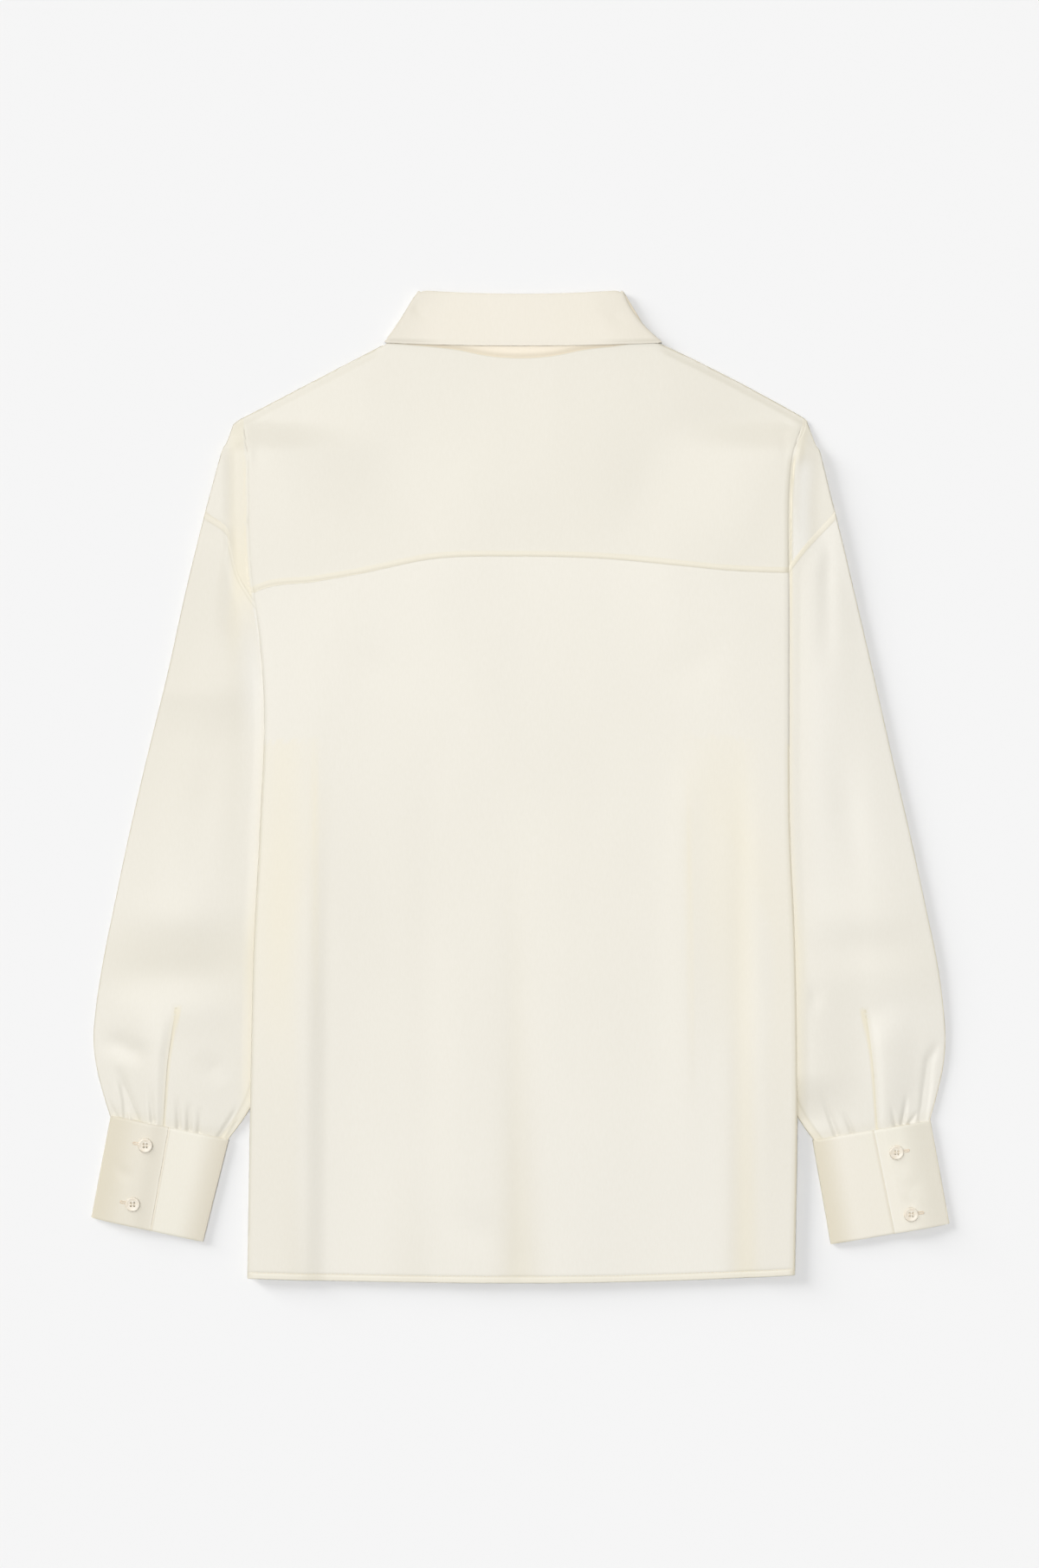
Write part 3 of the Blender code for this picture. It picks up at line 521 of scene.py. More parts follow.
class Rows:
    """Rows across half the body. Each holds its values in one column of numbers."""

    def __init__(self, name, edge_y, share, middle_share, top, bottom):
        self.name = name
        self.edge_y = np.asarray(edge_y).reshape(-1, 1)
        self.share = np.asarray(share).reshape(-1, 1)
        self.middle_share = np.asarray(middle_share).reshape(-1, 1)
        self.top = top
        self.bottom = bottom
        self.folded = pleat_share(self.edge_y)
        self.turn = np.arccos(1 - 2 * self.folded)
        reach = LIFT * np.where(self.turn < math.pi / 2, np.sin(self.turn), 1.0)
        self.start = BODY_EDGE.at(name, self.edge_y) - SKIN - reach

    def some(self, chosen):
        """A part of the rows."""
        kept = (values[chosen] for values in (self.edge_y, self.share, self.middle_share))
        return Rows(self.name, *kept, self.top, self.bottom)

    def level(self, out, part):
        share = mix(self.middle_share, self.share, part)
        return mix(self.top(self.name, out), self.bottom(self.name, out), share)

    def y(self, out):
        part = (np.clip(out, 0, None) / self.start) ** 2
        miss = self.edge_y - self.level(self.start, 1.0)
        return self.level(out, part) + miss * part

    def turned_y(self, out):
        """Height of a row past the body's flat, tilted where the shoulder slopes."""
        past = np.clip(out - self.start, 0, None)
        slope = by_side(self.name, 0.4, 0.66)
        return self.edge_y - (1 - self.folded) * past * (slope + 0.025 * past)

    def path(self, with_pleat, height):
        """(out, y, z, angle) of points along the middle of the pair, centre to edge."""
        out = self.start * np.linspace(0, 1, FLAT_STEPS + 1)
        y = self.y(out)
        flat = np.stack([out, y, height(self.name, out, y), 0 * y], -1)
        top = flat[:, -1:, 2]
        columns, place = self.bend((out[:, -1:], top, 0 * top), -1)
        if not with_pleat:
            return np.concatenate([flat, join_columns(columns + self.flap(place[0], place[2]))], 1)
        more, place = self.way_back(*place)
        last, place = self.bend(place, 1)
        pleat = self.landed(join_columns(columns + more + last), top)
        return np.concatenate([flat, pleat, self.dropped(place[0])], 1)

    def column(self, out, z, angle):
        return out, self.turned_y(out), z, angle

    def bend(self, place, sign):
        """Columns round one bend of the pleat, from (out, z, angle), and where it ends."""
        step = self.turn / ARC_STEPS
        length = LIFT * step + PLEAT_LEAD * (1 - self.folded) / ARC_STEPS
        columns = []
        for _ in range(ARC_STEPS):
            place = step_along(*place, length, sign * step)
            columns.append(self.column(*place))
        return columns, place

    def flap(self, out, angle):
        """Columns back along the flap that is turned under."""
        valley = TURNED_EDGE.at(self.name, self.edge_y)
        columns = []
        for part in np.linspace(0, 1, TURNED_STEPS + 1)[1:]:
            place = mix(out, valley, part)
            lies = under_height(self.name, place, self.edge_y)
            columns.append((place, self.edge_y + 0 * place, lies, angle))
        return columns

    def way_back(self, out, z, angle):
        """Columns from the pleat's first bend to its second, and where they end."""
        valley = TURNED_EDGE.at(self.name, self.edge_y)
        reach = np.where(self.folded > 0.99, np.maximum(0.5, out - valley - LIFT), 0.5)
        columns = []
        for part in np.linspace(0, 1, TURNED_STEPS + 1)[1:]:
            place = (out + reach * part * np.cos(angle), z + reach * part * np.sin(angle), angle)
            columns.append(self.column(*place))
        return columns, place

    def landed(self, pleat, top):
        """The pleat with its drop fitted, so that its last point lies on the surface."""
        drop = top - pleat[:, -1:, 2]
        scale = np.where(drop > 1e-6, (top - ON_FLOOR) / np.maximum(drop, 1e-6), 1.0)
        closed = ramp(self.folded, 0.75, 0.99)
        pleat[:, :, 2] = top - (top - pleat[:, :, 2]) * scale * closed
        return pleat

    def dropped(self, out):
        """The lowest stretch, from the pleat to the shoulder's fold or the armhole."""
        name, y = self.name, self.edge_y
        fold = OUTLINE.at(name, self.turned_y(DROPPED_OUT)) - SKIN
        last = np.where(y < ARMHOLE_TOP - 0.5, ARMHOLE.at(name, y), fold)
        body = BODY_EDGE.at(name, y) - 4.5
        first = np.minimum(np.maximum(out + 0.8, body), mix(out, last, 0.4))
        place = mix(first, last, DROPPED_PARTS)
        z = ON_FLOOR + shoulder_ridge(name, place, y)
        return np.stack([place, self.turned_y(place), z, 0 * z], -1)


def join_columns(columns):
    """Columns of (out, y, z, angle) side by side."""
    return np.stack([np.concatenate(values, 1) for values in zip(*columns)], -1)


def step_along(out, z, angle, length, turn):
    """The far end of an arc of this length and turn."""
    middle = angle + turn / 2
    half = np.where(np.abs(turn) > 1e-6, turn / 2, 1.0)
    chord = length * np.where(np.abs(turn) > 1e-6, np.sin(half) / half, 1.0)
    return out + chord * np.cos(middle), z + chord * np.sin(middle), angle + turn


def stations(edges, fine_start=(), fine_end=()):
    """Places of the rows between the knots of both sides' edges, with finer ones at the ends."""
    gaps = np.mean([np.abs(np.diff(edges[side])) for side in SIDES], axis=0)
    counts = np.maximum(1, np.round(gaps / ROW_STEP)).astype(int)
    places = spread(np.arange(len(gaps) + 1.0), counts)
    start = np.array(sorted(fine_start)) / gaps[0]
    end = len(gaps) - np.array(sorted(fine_end, reverse=True)) / gaps[-1]
    low = start[-1] + 1e-3 if len(start) else -1
    high = end[0] - 1e-3 if len(end) else len(gaps) + 1
    inner = places[(places > low) & (places < high)]
    return np.concatenate([start, inner, end])


def rows_between(name, edges, top, bottom, fine_start=(), fine_end=()):
    """Rows from a top line to a bottom line, spread by the heights of the body's edges."""
    places = stations(edges, fine_start, fine_end)
    heights = {side: np.interp(places, range(len(edges[side])), edges[side]) for side in SIDES}
    shares = {side: (h[0] - h) / (h[0] - h[-1]) for side, h in heights.items()}
    middle = sum(shares.values()) / len(shares)
    return Rows(name, heights[name], shares[name], middle, top, bottom)


def yoke_rows(name, top, fine_start=(), fine_end=()):
    edges = {side: list(YOKE_ROWS.columns[side]) for side in SIDES}
    return rows_between(name, edges, top, yoke_seam_y, fine_start, fine_end)


def lower_rows(name, fine_start=(), fine_end=()):
    edges = {side: [YOKE_ROWS.columns[side][-1], *BODY_ROWS, HEM_MIDDLE + HEM_RISE[side]] for side in SIDES}
    return rows_between(name, edges, yoke_seam_y, hem_y, fine_start, fine_end)


# ---------------------------------------------------------------- creases


def crease(line, x, y, narrow=1.0):
    """A soft ridge (height over 0) or trough along a line of (x, y, height, half width)."""
    best = np.full(np.shape(x), 1e9)
    height = np.zeros(np.shape(x))
    for (ax, ay, ah, aw), (bx, by, bh, bw) in zip(line, line[1:]):
        dx, dy = bx - ax, by - ay
        t = np.clip(((x - ax) * dx + (y - ay) * dy) / (dx * dx + dy * dy), 0, 1)
        away = np.hypot(x - ax - t * dx, y - ay - t * dy)
        raised = mix(ah, bh, t) * bell(away, mix(aw, bw, t) * narrow)
        height = np.where(away < best, raised, height)
        best = np.minimum(away, best)
    return height


def relief(creases, x, y, narrow=1.0):
    return sum((crease(line, x, y, narrow) for line in creases), np.zeros(np.shape(x)))


BACK_CREASES = (
    # over the turned flaps' inner edges
    ((170, 60, 0, 14), (175, -40, -0.3, 8), (178, -388, -0.6, 8)),
    ((140, 30, 0, 14), (128, -20, 0.4, 12), (130, -200, 0.4, 14), (134, -330, 0, 14)),
    # down the middle, over the closure
    ((-2, -20, 0, 10), (-1, -150, -0.25, 10), (0, -388, -0.5, 9)),
    ((-73, 60, 0, 12), (-74, -100, -0.3, 12), (-70, -388, -0.4, 14)),
    ((-60, -330, 0, 16), (-30, -352, -0.5, 14), (-8, -372, -0.3, 12)),
    # the soft pull below the yoke and under the arms
    ((-150, 118, 0, 14), (-120, 92, -0.3, 14), (-84, 78, 0, 16)),
    ((168, 120, 0, 14), (140, 96, -0.3, 14), (100, 80, 0, 16)),
)
# Where the cloth below shows through as warmer bands. The third value of each place is then the
# share of the colour.
WARM_STREAKS = (
    ((-184, 150, 0, 20), (-188, 20, 0.5, 19), (-190, -110, 0.4, 18), (-192, -220, 0, 18)),
    ((-163, 60, 0, 3), (-162.5, 0, 0.5, 3), (-162, -120, 0.3, 3), (-161, -200, 0, 3)),
    ((150, 130, 0, 26), (155, 0, 0.32, 25), (160, -100, 0.32, 24), (160, -220, 0, 24)),
    ((172, 100, 0, 9), (174, 0, 0.2, 9), (176, -120, 0.3, 9), (177, -388, 0.5, 12)),
    ((133, 20, 0, 2.5), (133, -60, 0.5, 2.5), (135, -200, 0.2, 2.5), (136, -260, 0, 2.5)),
    ((-1, -60, 0, 10), (-1, -200, 0.15, 12), (0, -388, 0.3, 17)),
)
# Painted shade: darker streaks towards the hem, along the back's troughs; the third value is its share
PAINTED_SHADE_STREAKS = (
    ((0, -240, 0, 14), (0, -388, 0.13, 15)),
    ((180, -180, 0, 9), (182, -388, 0.15, 10)),
    ((-175, -320, 0, 12), (-172, -388, 0.1, 12)),
    ((-90, -290, 0, 18), (-85, -388, 0.08, 18)),
)
FRONT_CREASES = (
    ((150, 120, 0, 12), (110, 80, 0.35, 10), (70, 60, 0, 12)),
    ((120, -40, 0, 10), (126, -170, 0.3, 9), (116, -300, 0, 10)),
    ((-150, 110, 0, 12), (-104, 70, 0.3, 10), (-66, 58, 0, 12)),
    ((-112, -70, 0, 10), (-120, -210, 0.35, 9), (-110, -330, 0, 10)),
)
DROPPED_CREASES = {
    "left": (
        ((-233, 208, 0, 1.4), (-230, 196, -0.35, 1.4), (-226.5, 182, 0, 1.4)),
        ((-216, 286, 0, 4), (-213, 276, -0.5, 4), (-217, 262, 0, 4)),
    ),
    "right": (
        ((226, 286, 0.1, 2.6), (221, 266, 0.35, 2.6), (216.5, 240, 0, 2.4)),
    ),
}
YOKE_CREASES = {
    "left": (
        ((-205, 274, 0, 7), (-208, 262, -0.5, 7), (-210, 246, 0, 7)),
    ),
    "right": (
        ((224, 285.5, 0, 2), (210, 284.5, -0.5, 2.2), (207.5, 279, -0.3, 2.8),
         (211, 258, -0.4, 2.8), (213, 238, 0, 2.4)),
    ),
}
SLEEVE_CREASES = {
    "left": (
        # gathers into the cuff
        ((-319, -221, 0, 4), (-312, -243, -1.1, 3.6), (-303.5, -265, -1.5, 3.4)),
        ((-329, -244, 0, 2.6), (-320.5, -262, -0.8, 2.6)),
        ((-314.5, -240, 0, 2.4), (-311.7, -262, -0.7, 2.4)),
        ((-293, -234, 0, 3), (-290.4, -265, -0.6, 2.6)),
        ((-271, -246, 0, 2.4), (-270, -270, -0.6, 2.4)),
        ((-262, -250, 0, 2.6), (-262, -272, -0.7, 2.4)),
        ((-253, -254, 0, 2.4), (-254, -274, -0.5, 2.2)),
        ((-213.7, -250, 0, 2.4), (-223, -265, -0.8, 2.2), (-231, -279, -0.9, 2)),
        ((-221, -250, 0, 2.4), (-238, -278, -0.7, 2.2)),
        # soft hollows above them
        ((-334, -203, 0, 8), (-318, -204, -0.7, 8), (-303, -211, -0.8, 8), (-294, -218, 0, 8)),
        ((-256, -212, 0, 9), (-243, -224, -0.4, 9), (-234, -236, 0, 8)),
        ((-242, 60, 0, 12), (-250, -10, -0.4, 12), (-256, -80, 0, 12)),
    ),
    "right": (
        ((331, -202, 0, 3), (323, -217, -0.9, 3.4), (317.8, -265, -1.4, 3.4)),
        ((305.5, -243, 0, 2.6), (302, -267, -0.9, 2.4)),
        ((292.5, -252, 0, 2.4), (297, -271, -0.7, 2.2)),
        ((315, -256, 0, 2.2), (306, -269, -0.6, 2.2)),
        ((237, -240, 0, 2.6), (250, -276, -0.9, 2.4)),
        ((255, -257, 0, 2.4), (263, -275, -0.7, 2.2)),
        ((244, 200, 0, 5), (242, 165, -0.5, 6), (242, 120, -0.4, 8), (241, 84, 0, 9)),
        ((206, -150, 0, 9), (222, -166, -0.7, 9), (240, -172, 0, 9)),
        ((250, 40, 0, 12), (258, -20, -0.4, 12), (270, -80, 0, 12)),
    ),
}
UNDER_CREASES = (
    ((210, 100, 0, 10), (240, 20, 0.35, 10), (250, -60, 0, 10)),
    ((290, -60, 0, 9), (296, -150, 0.3, 9), (280, -230, 0, 9)),
)
CUFF_CREASES = {
    "left": (
        ((-324, -296, 0, 5), (-314, -306, -0.4, 4.5), (-304, -311, 0, 5)),
    ),
    "right": (
        ((322, -322, 0, 6), (311, -316, -0.45, 6), (303, -310, 0, 5)),
        ((318, -342, 0, 4), (309, -329, -0.35, 3.5), (302, -324, 0, 4)),
    ),
}
COLLAR_CREASES = (
    ((-90, 388, 0, 3), (-81.5, 378, -0.5, 4), (-73, 366, 0, 4)),
    ((60, 384, 0, 6), (76, 371, -0.4, 6), (88, 360, 0, 6)),
)


def hem_relief(name, out, y):
    """The hem's turned strip, and the valley along its stitches."""
    above = above_hem(name, out, y)
    return 0.3 * ramp(above, 4.9, 3.5) - 0.18 * bell(above - HEM_WIDE, 0.7)


def yoke_relief(name, out, y):
    """The seam's turned cloth shows through as a raised band above it."""
    above = above_seam(name, out, y)
    return 0.22 * ramp(above, 4.8, 2.8) - 0.15 * bell(above)


def back_relief(name, out, y):
    return hem_relief(name, out, y) - 0.15 * bell(above_seam(name, out, y))


def shoulder_strip(name, out, y):
    """The cloth slopes away towards the shoulder's fold."""
    near = shoulder_y(name, out) - y
    deep = by_side(name, 0.5, 0.65)
    return -deep * ramp(near, 7.5, 1.0) * ramp(out, NECK_HALF, NECK_HALF + 12)


# ---------------------------------------------------------------- building sheets


def add_object(name, data):
    piece = bpy.data.objects.new(name, data)
    bpy.context.scene.collection.objects.link(piece)
    return piece


def add_piece(name, mesh, material, nodes=()):
    """An object of the garment, which may stand for some of its solids."""
    if not mesh.materials:
        mesh.materials.append(material)
    piece = add_object(name, mesh)
    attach(piece, "root")
    if nodes:
        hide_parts(*nodes)
    return piece


class Sheet:
    """Points, faces and cloth coordinates of one sheet, gathered grid by grid.

    warm is where more layers lie below and the cloth looks warmer, from 0 to 1; on the cuffs
    and the collar's fall it is painted shade, in their greyer colour. Up to 2 it nears a light
    yellow, painted light on shaded edges, and down to -1 the palest: painted light on edges and
    slopes, and paler cloth low on the back. line, from 0 to 1, is where a seam is darker, and
    painted shade along folds, edges and creases.
    """

    def __init__(self):
        self.points = []
        self.faces = []
        self.grain = []
        self.warm = []
        self.line = []
        self.count = 0

    def grid(self, points, warm=0.0, line=0.0):
        """Adds a grid of points, (rows, columns, 3), with its faces."""
        rows, columns = points.shape[:2]
        self.points.append(points.reshape(-1, 3))
        self.grain.append(flat_places(points).reshape(-1, 2))
        for kept, values in ((self.warm, warm), (self.line, line)):
            kept.append((np.zeros((rows, columns)) + values).ravel())
        numbers = self.count + np.arange(rows * columns).reshape(rows, columns)
        self.count += rows * columns
        corners = (numbers[:-1, :-1], numbers[:-1, 1:], numbers[1:, 1:], numbers[1:, :-1])
        self.faces.append(np.stack(corners, -1).reshape(-1, 4))

    def mesh(self, name, merge):
        """The sheet as a mesh, with points closer than this joined."""
        mesh = bpy.data.meshes.new(name)
        points = np.concatenate(self.points) * MM
        mesh.from_pydata(points.tolist(), [], np.concatenate(self.faces).tolist())
        for kind, values in (("warm", self.warm), ("line", self.line)):
            layer = mesh.attributes.new(kind, "FLOAT", "POINT")
            kept = np.clip(np.concatenate(values), -1, 2)
            layer.data.foreach_set("value", kept.astype(np.float32))
        corners = np.empty(len(mesh.loops), np.int32)
        mesh.loops.foreach_get("vertex_index", corners)
        grain = np.concatenate(self.grain)[corners] * MM
        mesh.uv_layers.new(name="grain").data.foreach_set("uv", grain.astype(np.float32).ravel())
        build = bmesh.new()
        build.from_mesh(mesh)
        bmesh.ops.remove_doubles(build, verts=build.verts, dist=merge * MM)
        bmesh.ops.recalc_face_normals(build, faces=build.faces)
        for face in build.faces:
            face.smooth = True
        for edge in build.edges:
            edge.smooth = not edge.is_boundary
        build.to_mesh(mesh)
        build.free()
        return mesh


def flat_places(points):
    """Places on the flat cloth: lengths along the grid's rows and columns."""
    across = np.linalg.norm(np.diff(points, axis=1), axis=-1)
    across = np.concatenate([np.zeros((len(points), 1)), np.cumsum(across, 1)], 1)
    down = np.linalg.norm(np.diff(points, axis=0), axis=-1).mean(1)
    down = np.concatenate([[0], np.cumsum(down)])[:, None]
    return np.stack([across, down + 0 * across], -1)


def cloth_object(name, sheet, thick, material, node, merge=0.05):
    """A thin shell through the sheet's points, standing for this solid."""
    piece = add_piece(name, sheet.mesh(name, merge), material, [node])
    wall = piece.modifiers.new("cloth", "SOLIDIFY")
    wall.thickness = thick * MM
    wall.offset = 0
    return piece


def moved_off(name, path, shift):
    """Points of a sheet that lies this far above the middle of the pair."""
    out, y, z, angle = np.moveaxis(path, -1, 0)
    moved = (SIDES[name] * (out - shift * np.sin(angle)), y, z + shift * np.cos(angle))
    return np.stack(moved, -1)


def half_body(sheet, name, rows, shift, fit, height, upper_tint, lower_tint=None):
    """One half of a back or front piece: rows with the pleat, then rows with the side flap."""
    upper = rows.edge_y[:, 0] >= UNDERARM_Y - 0.01
    lower = rows.edge_y[:, 0] <= UNDERARM_Y + 0.01
    for with_pleat, chosen, tint in ((True, upper, upper_tint), (False, lower, lower_tint)):
        if chosen.sum() < 2:
            continue
        part = rows.some(chosen)
        path = fit(part, part.path(with_pleat, height), with_pleat)
        shifts = shift
        if not with_pleat:
            path, shifts = with_hem(path, shift)
        warm, line = tint(name, abs(path[:, :, 0]), path[:, :, 1])
        sheet.grid(moved_off(name, path, shifts), warm, line)


def with_hem(path, shift):
    """The path with its last row turned under and laid back along the inside."""
    shifts = [np.full(path.shape[:2], shift)]
    inward = -np.sign(shift)
    rows = [path]
    for angle in np.linspace(0, math.pi, 7)[1:]:
        row = path[-1:].copy()
        row[:, :, 1] -= HEM_ROLL * math.sin(angle)
        rows.append(row)
        shifts.append(shifts[0][-1:] + inward * HEM_ROLL * (1 - math.cos(angle)))
    for part in (0.5, 1.0):
        row = rows[6].copy()
        row[:, :, 1] += HEM_WIDE * part
        rows.append(row)
        shifts.append(shifts[6])
    return np.concatenate(rows), np.concatenate(shifts)


def inside_edge():
    """1 over the flat of the body and 0 at its fold, for each of the path's flat points."""
    return ramp(np.linspace(0, 1, FLAT_STEPS + 1), 1, 1 - FOLD_CLEAR / BODY_HALF)


def fit_back(name, seams, creases, dropped):
    """Adds the creases and seams to the rows of a back piece."""
    side = SIDES[name]

    def fit(part, path, with_pleat):
        flat = path[:, : FLAT_STEPS + 1]
        out, y = flat[:, :, 0], flat[:, :, 1]
        flat[:, :, 2] += CLOSURE_AIR * closure_share(out, y)
        flat[:, :, 2] += relief((*BACK_CREASES, *creases), side * out, y) * inside_edge()
        flat[:, :, 2] += seams(name, out, y)
        if with_pleat:
            strip = path[:, -DROPPED_STEPS:]
            strip[:, :, 2] += relief(dropped, side * strip[:, :, 0], strip[:, :, 1])
            path[:, :, 2] += shoulder_strip(name, path[:, :, 0], path[:, :, 1])
        return path

    return fit


def shoulder_chain(path, edge_y):
    """The yoke's points over the shoulder and then down the dropped shoulder's fold."""
    top = path[0]
    top = top[top[:, 0] >= NECK_HALF - 0.1]
    side = path[1:, -1][edge_y[1:] > ARMHOLE_TOP - 0.1]
    chain = np.concatenate([top, side])
    apart = np.linalg.norm(np.diff(chain[:, :2], axis=0), axis=1) > 0.05
    return chain[np.concatenate([[True], apart])]


def roll_shoulder(sheet, name, path, edge_y):
    """Rolls the yoke's top edge over the shoulder and down the dropped shoulder's fold."""
    chain = shoulder_chain(path, edge_y)
    out, y, z = chain[:, :1], chain[:, 1:2], chain[:, 2:3]
    along = np.gradient(chain[:, :2], axis=0)
    along /= np.linalg.norm(along, axis=1)[:, None]
    angle = np.linspace(0, math.pi, ARC_STEPS + 1)[None, :]
    reach = LIFT / 2 * np.sin(angle) + 0 * out
    lift = LIFT / 2 - (1 - np.cos(angle)) / 2 * (z - ON_FLOOR + LIFT)
    turned = shoulder_return(out)
    reach = np.concatenate([reach, -turned * 0.5, -turned], 1)
    lift = np.concatenate([lift, lift[:, -1:], lift[:, -1:]], 1)
    x = SIDES[name] * (out - along[:, 1:] * reach)
    rolled = smooth(4 * np.linspace(0, 1, reach.shape[1]))[None, :]
    down = by_side(name, 0.0, ramp(y, CORNER_Y - 6, CORNER_Y - 12))
    points = np.stack([x, y + along[:, :1] * reach, z + lift], -1)
    # a painted dark line round the rolled edge; down the right's dropped shoulder, painted light and a
    # faint line instead
    sheet.grid(points, 1.4 * down * rolled, mix(0.8, 0.1, down) * rolled)


# ---------------------------------------------------------------- tints of the body
#
# Each gives (warm, line) for places on one half of a piece, as Sheet describes them.


def strip_warmth(name, out, y):
    """Warm cloth over the soft roll beside the body's edge."""
    past = past_edge(name, out, y)
    wide = by_side(name, mix(14, 26, ramp(y, 180, 100)), 8.0)
    fade = by_side(name, ramp(y, 78, 138), 0.8 * ramp(y, 190, 230))
    glow = mix(0.45, 1.0, bell(y - 168, 38))
    return glow * fade * ramp(past, 0, 1.5) * ramp(past, 1.2 * wide, 0.6 * wide)


def edge_painted_light(name, out, y):
    """Painted light on the single cloth where the body's edge drops to the sleeve, lightening the shade
    along that edge.
    """
    past = past_edge(name, out, y)
    return by_side(name, 0.7, 1.7) * bell(past - 0.5, 0.9) * ramp(y, FOLDED_Y + 2, FOLDED_Y - 10)


def yoke_tint(name, out, y):
    above = above_seam(name, out, y)
    near = shoulder_y(name, out) - y
    past = past_edge(name, out, y)
    body = past < 0.3
    # pale is painted light on the right's strip beside the fold, and fold a painted dark line along that
    # fold
    pale = 0.8 * ramp(past, 1, 3) * ramp(past, 20, 10) * ramp(y, FOLDED_Y, FOLDED_Y - 14)
    fold = 0.3 * bell(past + 1.2, 1.8) * ramp(y, FOLDED_Y + 2, FOLDED_Y - 8)
    pale, fold = by_side(name, (0.0, 0.0), (pale, fold))
    warm = np.where(body, 0.6 * ramp(above, 4.8, 3.6), strip_warmth(name, out, y) - pale)
    # a darker strip along the shoulder, and painted shade in a line along its fold
    strip = ramp(near, 7, 5.5) * ramp(out, NECK_HALF + 4, NECK_HALF + 10)
    edge = by_side(name, 0.06, 0.08) * strip + 0.4 * ramp(near, 1, 0.2)
    line = 0.12 * np.where(body, bell(above, 0.7), 0.0) + edge + fold + 0.08
    # with painted light where the body's edge drops
    return warm + edge_painted_light(name, out, y), line


def upper_back_tint(name, out, y):
    body = past_edge(name, out, y) < 0.3
    # painted light where the body's edge drops, on top of the strip's warmth
    warm = np.where(body, 0.0, strip_warmth(name, out, y)) + edge_painted_light(name, out, y)
    return warm, 0.12 * np.where(body, bell(above_seam(name, out, y), 0.7), 0.0)


def lower_back_tint(name, out, y):
    above = above_hem(name, out, y)
    streaks = relief(WARM_STREAKS, SIDES[name] * out, y)
    cool = by_side(name, 0.2, 0.3) * ramp(y, -60, -360) * (1 - np.clip(2 * streaks, 0, 1))
    flap = ramp(out - TURNED_EDGE.at(name, y), 2, 16) * ramp(y, 20, -100)
    warm = mix(0.25 * flap + streaks - cool, 0.35, ramp(above, 4.9, 4.1))
    # painted shade in the streaks along the troughs, and the hem's stitch line
    line = relief(PAINTED_SHADE_STREAKS, SIDES[name] * out, y) + 0.15 * bell(above - HEM_WIDE, 0.6)
    # the right's fold gets painted light and the left's a painted dark line, by the side the light falls
    # from
    fold = ramp(past_edge(name, out, y), -3, -1)
    return by_side(name, (warm, line + 0.2 * fold), (mix(warm, 1.5, fold), line))


def front_tint(*_):
    return 0.15, 0.0


# ---------------------------------------------------------------- the body's pieces


def make_yoke(material):
    sheet = Sheet()
    for name in SIDES:
        rows = yoke_rows(name, shoulder_y, TOP_FINE, SEAM_FINE)
        fit = fit_back(name, yoke_relief, YOKE_CREASES[name], DROPPED_CREASES[name])
        half_body(sheet, name, rows, LIFT / 2, fit, back_height, yoke_tint)
        roll_shoulder(sheet, name, fit(rows, rows.path(True, back_height), True), rows.edge_y[:, 0])
    piece = cloth_object("yoke_cloth", sheet, SHELL, material, "yoke")


def make_back(material):
    sheet = Sheet()
    for name in SIDES:
        rows = lower_rows(name, SEAM_FINE_BELOW, HEM_FINE)
        fit = fit_back(name, back_relief, (), DROPPED_CREASES[name])
        half_body(sheet, name, rows, LIFT / 2, fit, back_height, upper_back_tint, lower_back_tint)
    piece = cloth_object("back_cloth", sheet, SHELL, material, "back")


def fit_front(name):
    """Sets a front's rows back at the shoulder and armhole, and adds its creases and its lap."""
    side = SIDES[name]

    def fit(part, path, with_pleat):
        edge_y = part.edge_y[:, 0]
        out = path[:, :, 0]
        shoulder = (edge_y > CORNER_Y - 0.01)[:, None] & (out >= NECK_HALF - 0.1)
        path[:, :, 1] -= np.where(shoulder, (shoulder_return(out) + SEAM) * SHOULDER_SLANT, 0)
        path[edge_y >= FRONT_SET_BACK_Y, -1, 0] -= EDGE_RETURN + SEAM
        if with_pleat:
            strip = path[:, -DROPPED_STEPS:]
            strip[:, :, 2] -= FRONT_SINK * shoulder_ridge(name, strip[:, :, 0], strip[:, :, 1])
        if name == "right":
            path[:, :, 2] -= LIFT * ramp(out, LAP_HALF + 6, LAP_HALF)
        flat = path[:, : FLAT_STEPS + 1]
        flat[:, :, 2] += relief(FRONT_CREASES, side * flat[:, :, 0], flat[:, :, 1]) * inside_edge()
        lap = flat[:, 1:8]
        lap = lap[:, lap[0, :, 0] < LAP_HALF][:, ::-1].copy()
        lap[:, :, 0] *= -1
        return np.concatenate([lap, path], 1)

    return fit


def make_front(name, material):
    sheet = Sheet()
    for rows in (yoke_rows(name, front_top_y), lower_rows(name, fine_end=HEM_FINE)):
        half_body(sheet, name, rows, -LIFT / 2, fit_front(name), front_height, front_tint, front_tint)
    piece = cloth_object(f"front_{name}_cloth", sheet, SHELL, material, f"front_{name}")


# ---------------------------------------------------------------- sleeves


def round_fold(place, away, thick, low, high, sign):
    """Places and heights round a fold: down from the top layer, or up to it for sign -1."""
    points = []
    for angle in np.linspace(0, math.pi, ARC_STEPS + 1)[1:-1]:
        reach = thick / 2 * math.sin(angle)
        z = mix(low, high, (1 + sign * math.cos(angle)) / 2)
        points.append(((place[0] + away[0] * reach, place[1] + away[1] * reach), z))
    return points


def edge_tint(faces_right):
    """(warm, line) of a side fold: painted light on one that faces away from the light, and a painted dark
    line on one that faces it.
    """
    return (1.5, 0.0) if faces_right else (0.0, 0.3)


class Strips:
    """Lines of (x, y, z, warm, line) along a flattened tube, side by side round it."""

    def __init__(self, along):
        self.zeros = 0 * along
        self.lines = []

    def add(self, place, height, warm=0.0, line=0.0):
        self.lines.append(np.stack([v + self.zeros for v in (*place, height, warm, line)], -1))

    def add_fold(self, fold, faces_right):
        for place, height in fold:
            self.add(place, height, *edge_tint(faces_right))

    def points(self):
        return np.stack(self.lines, 1)


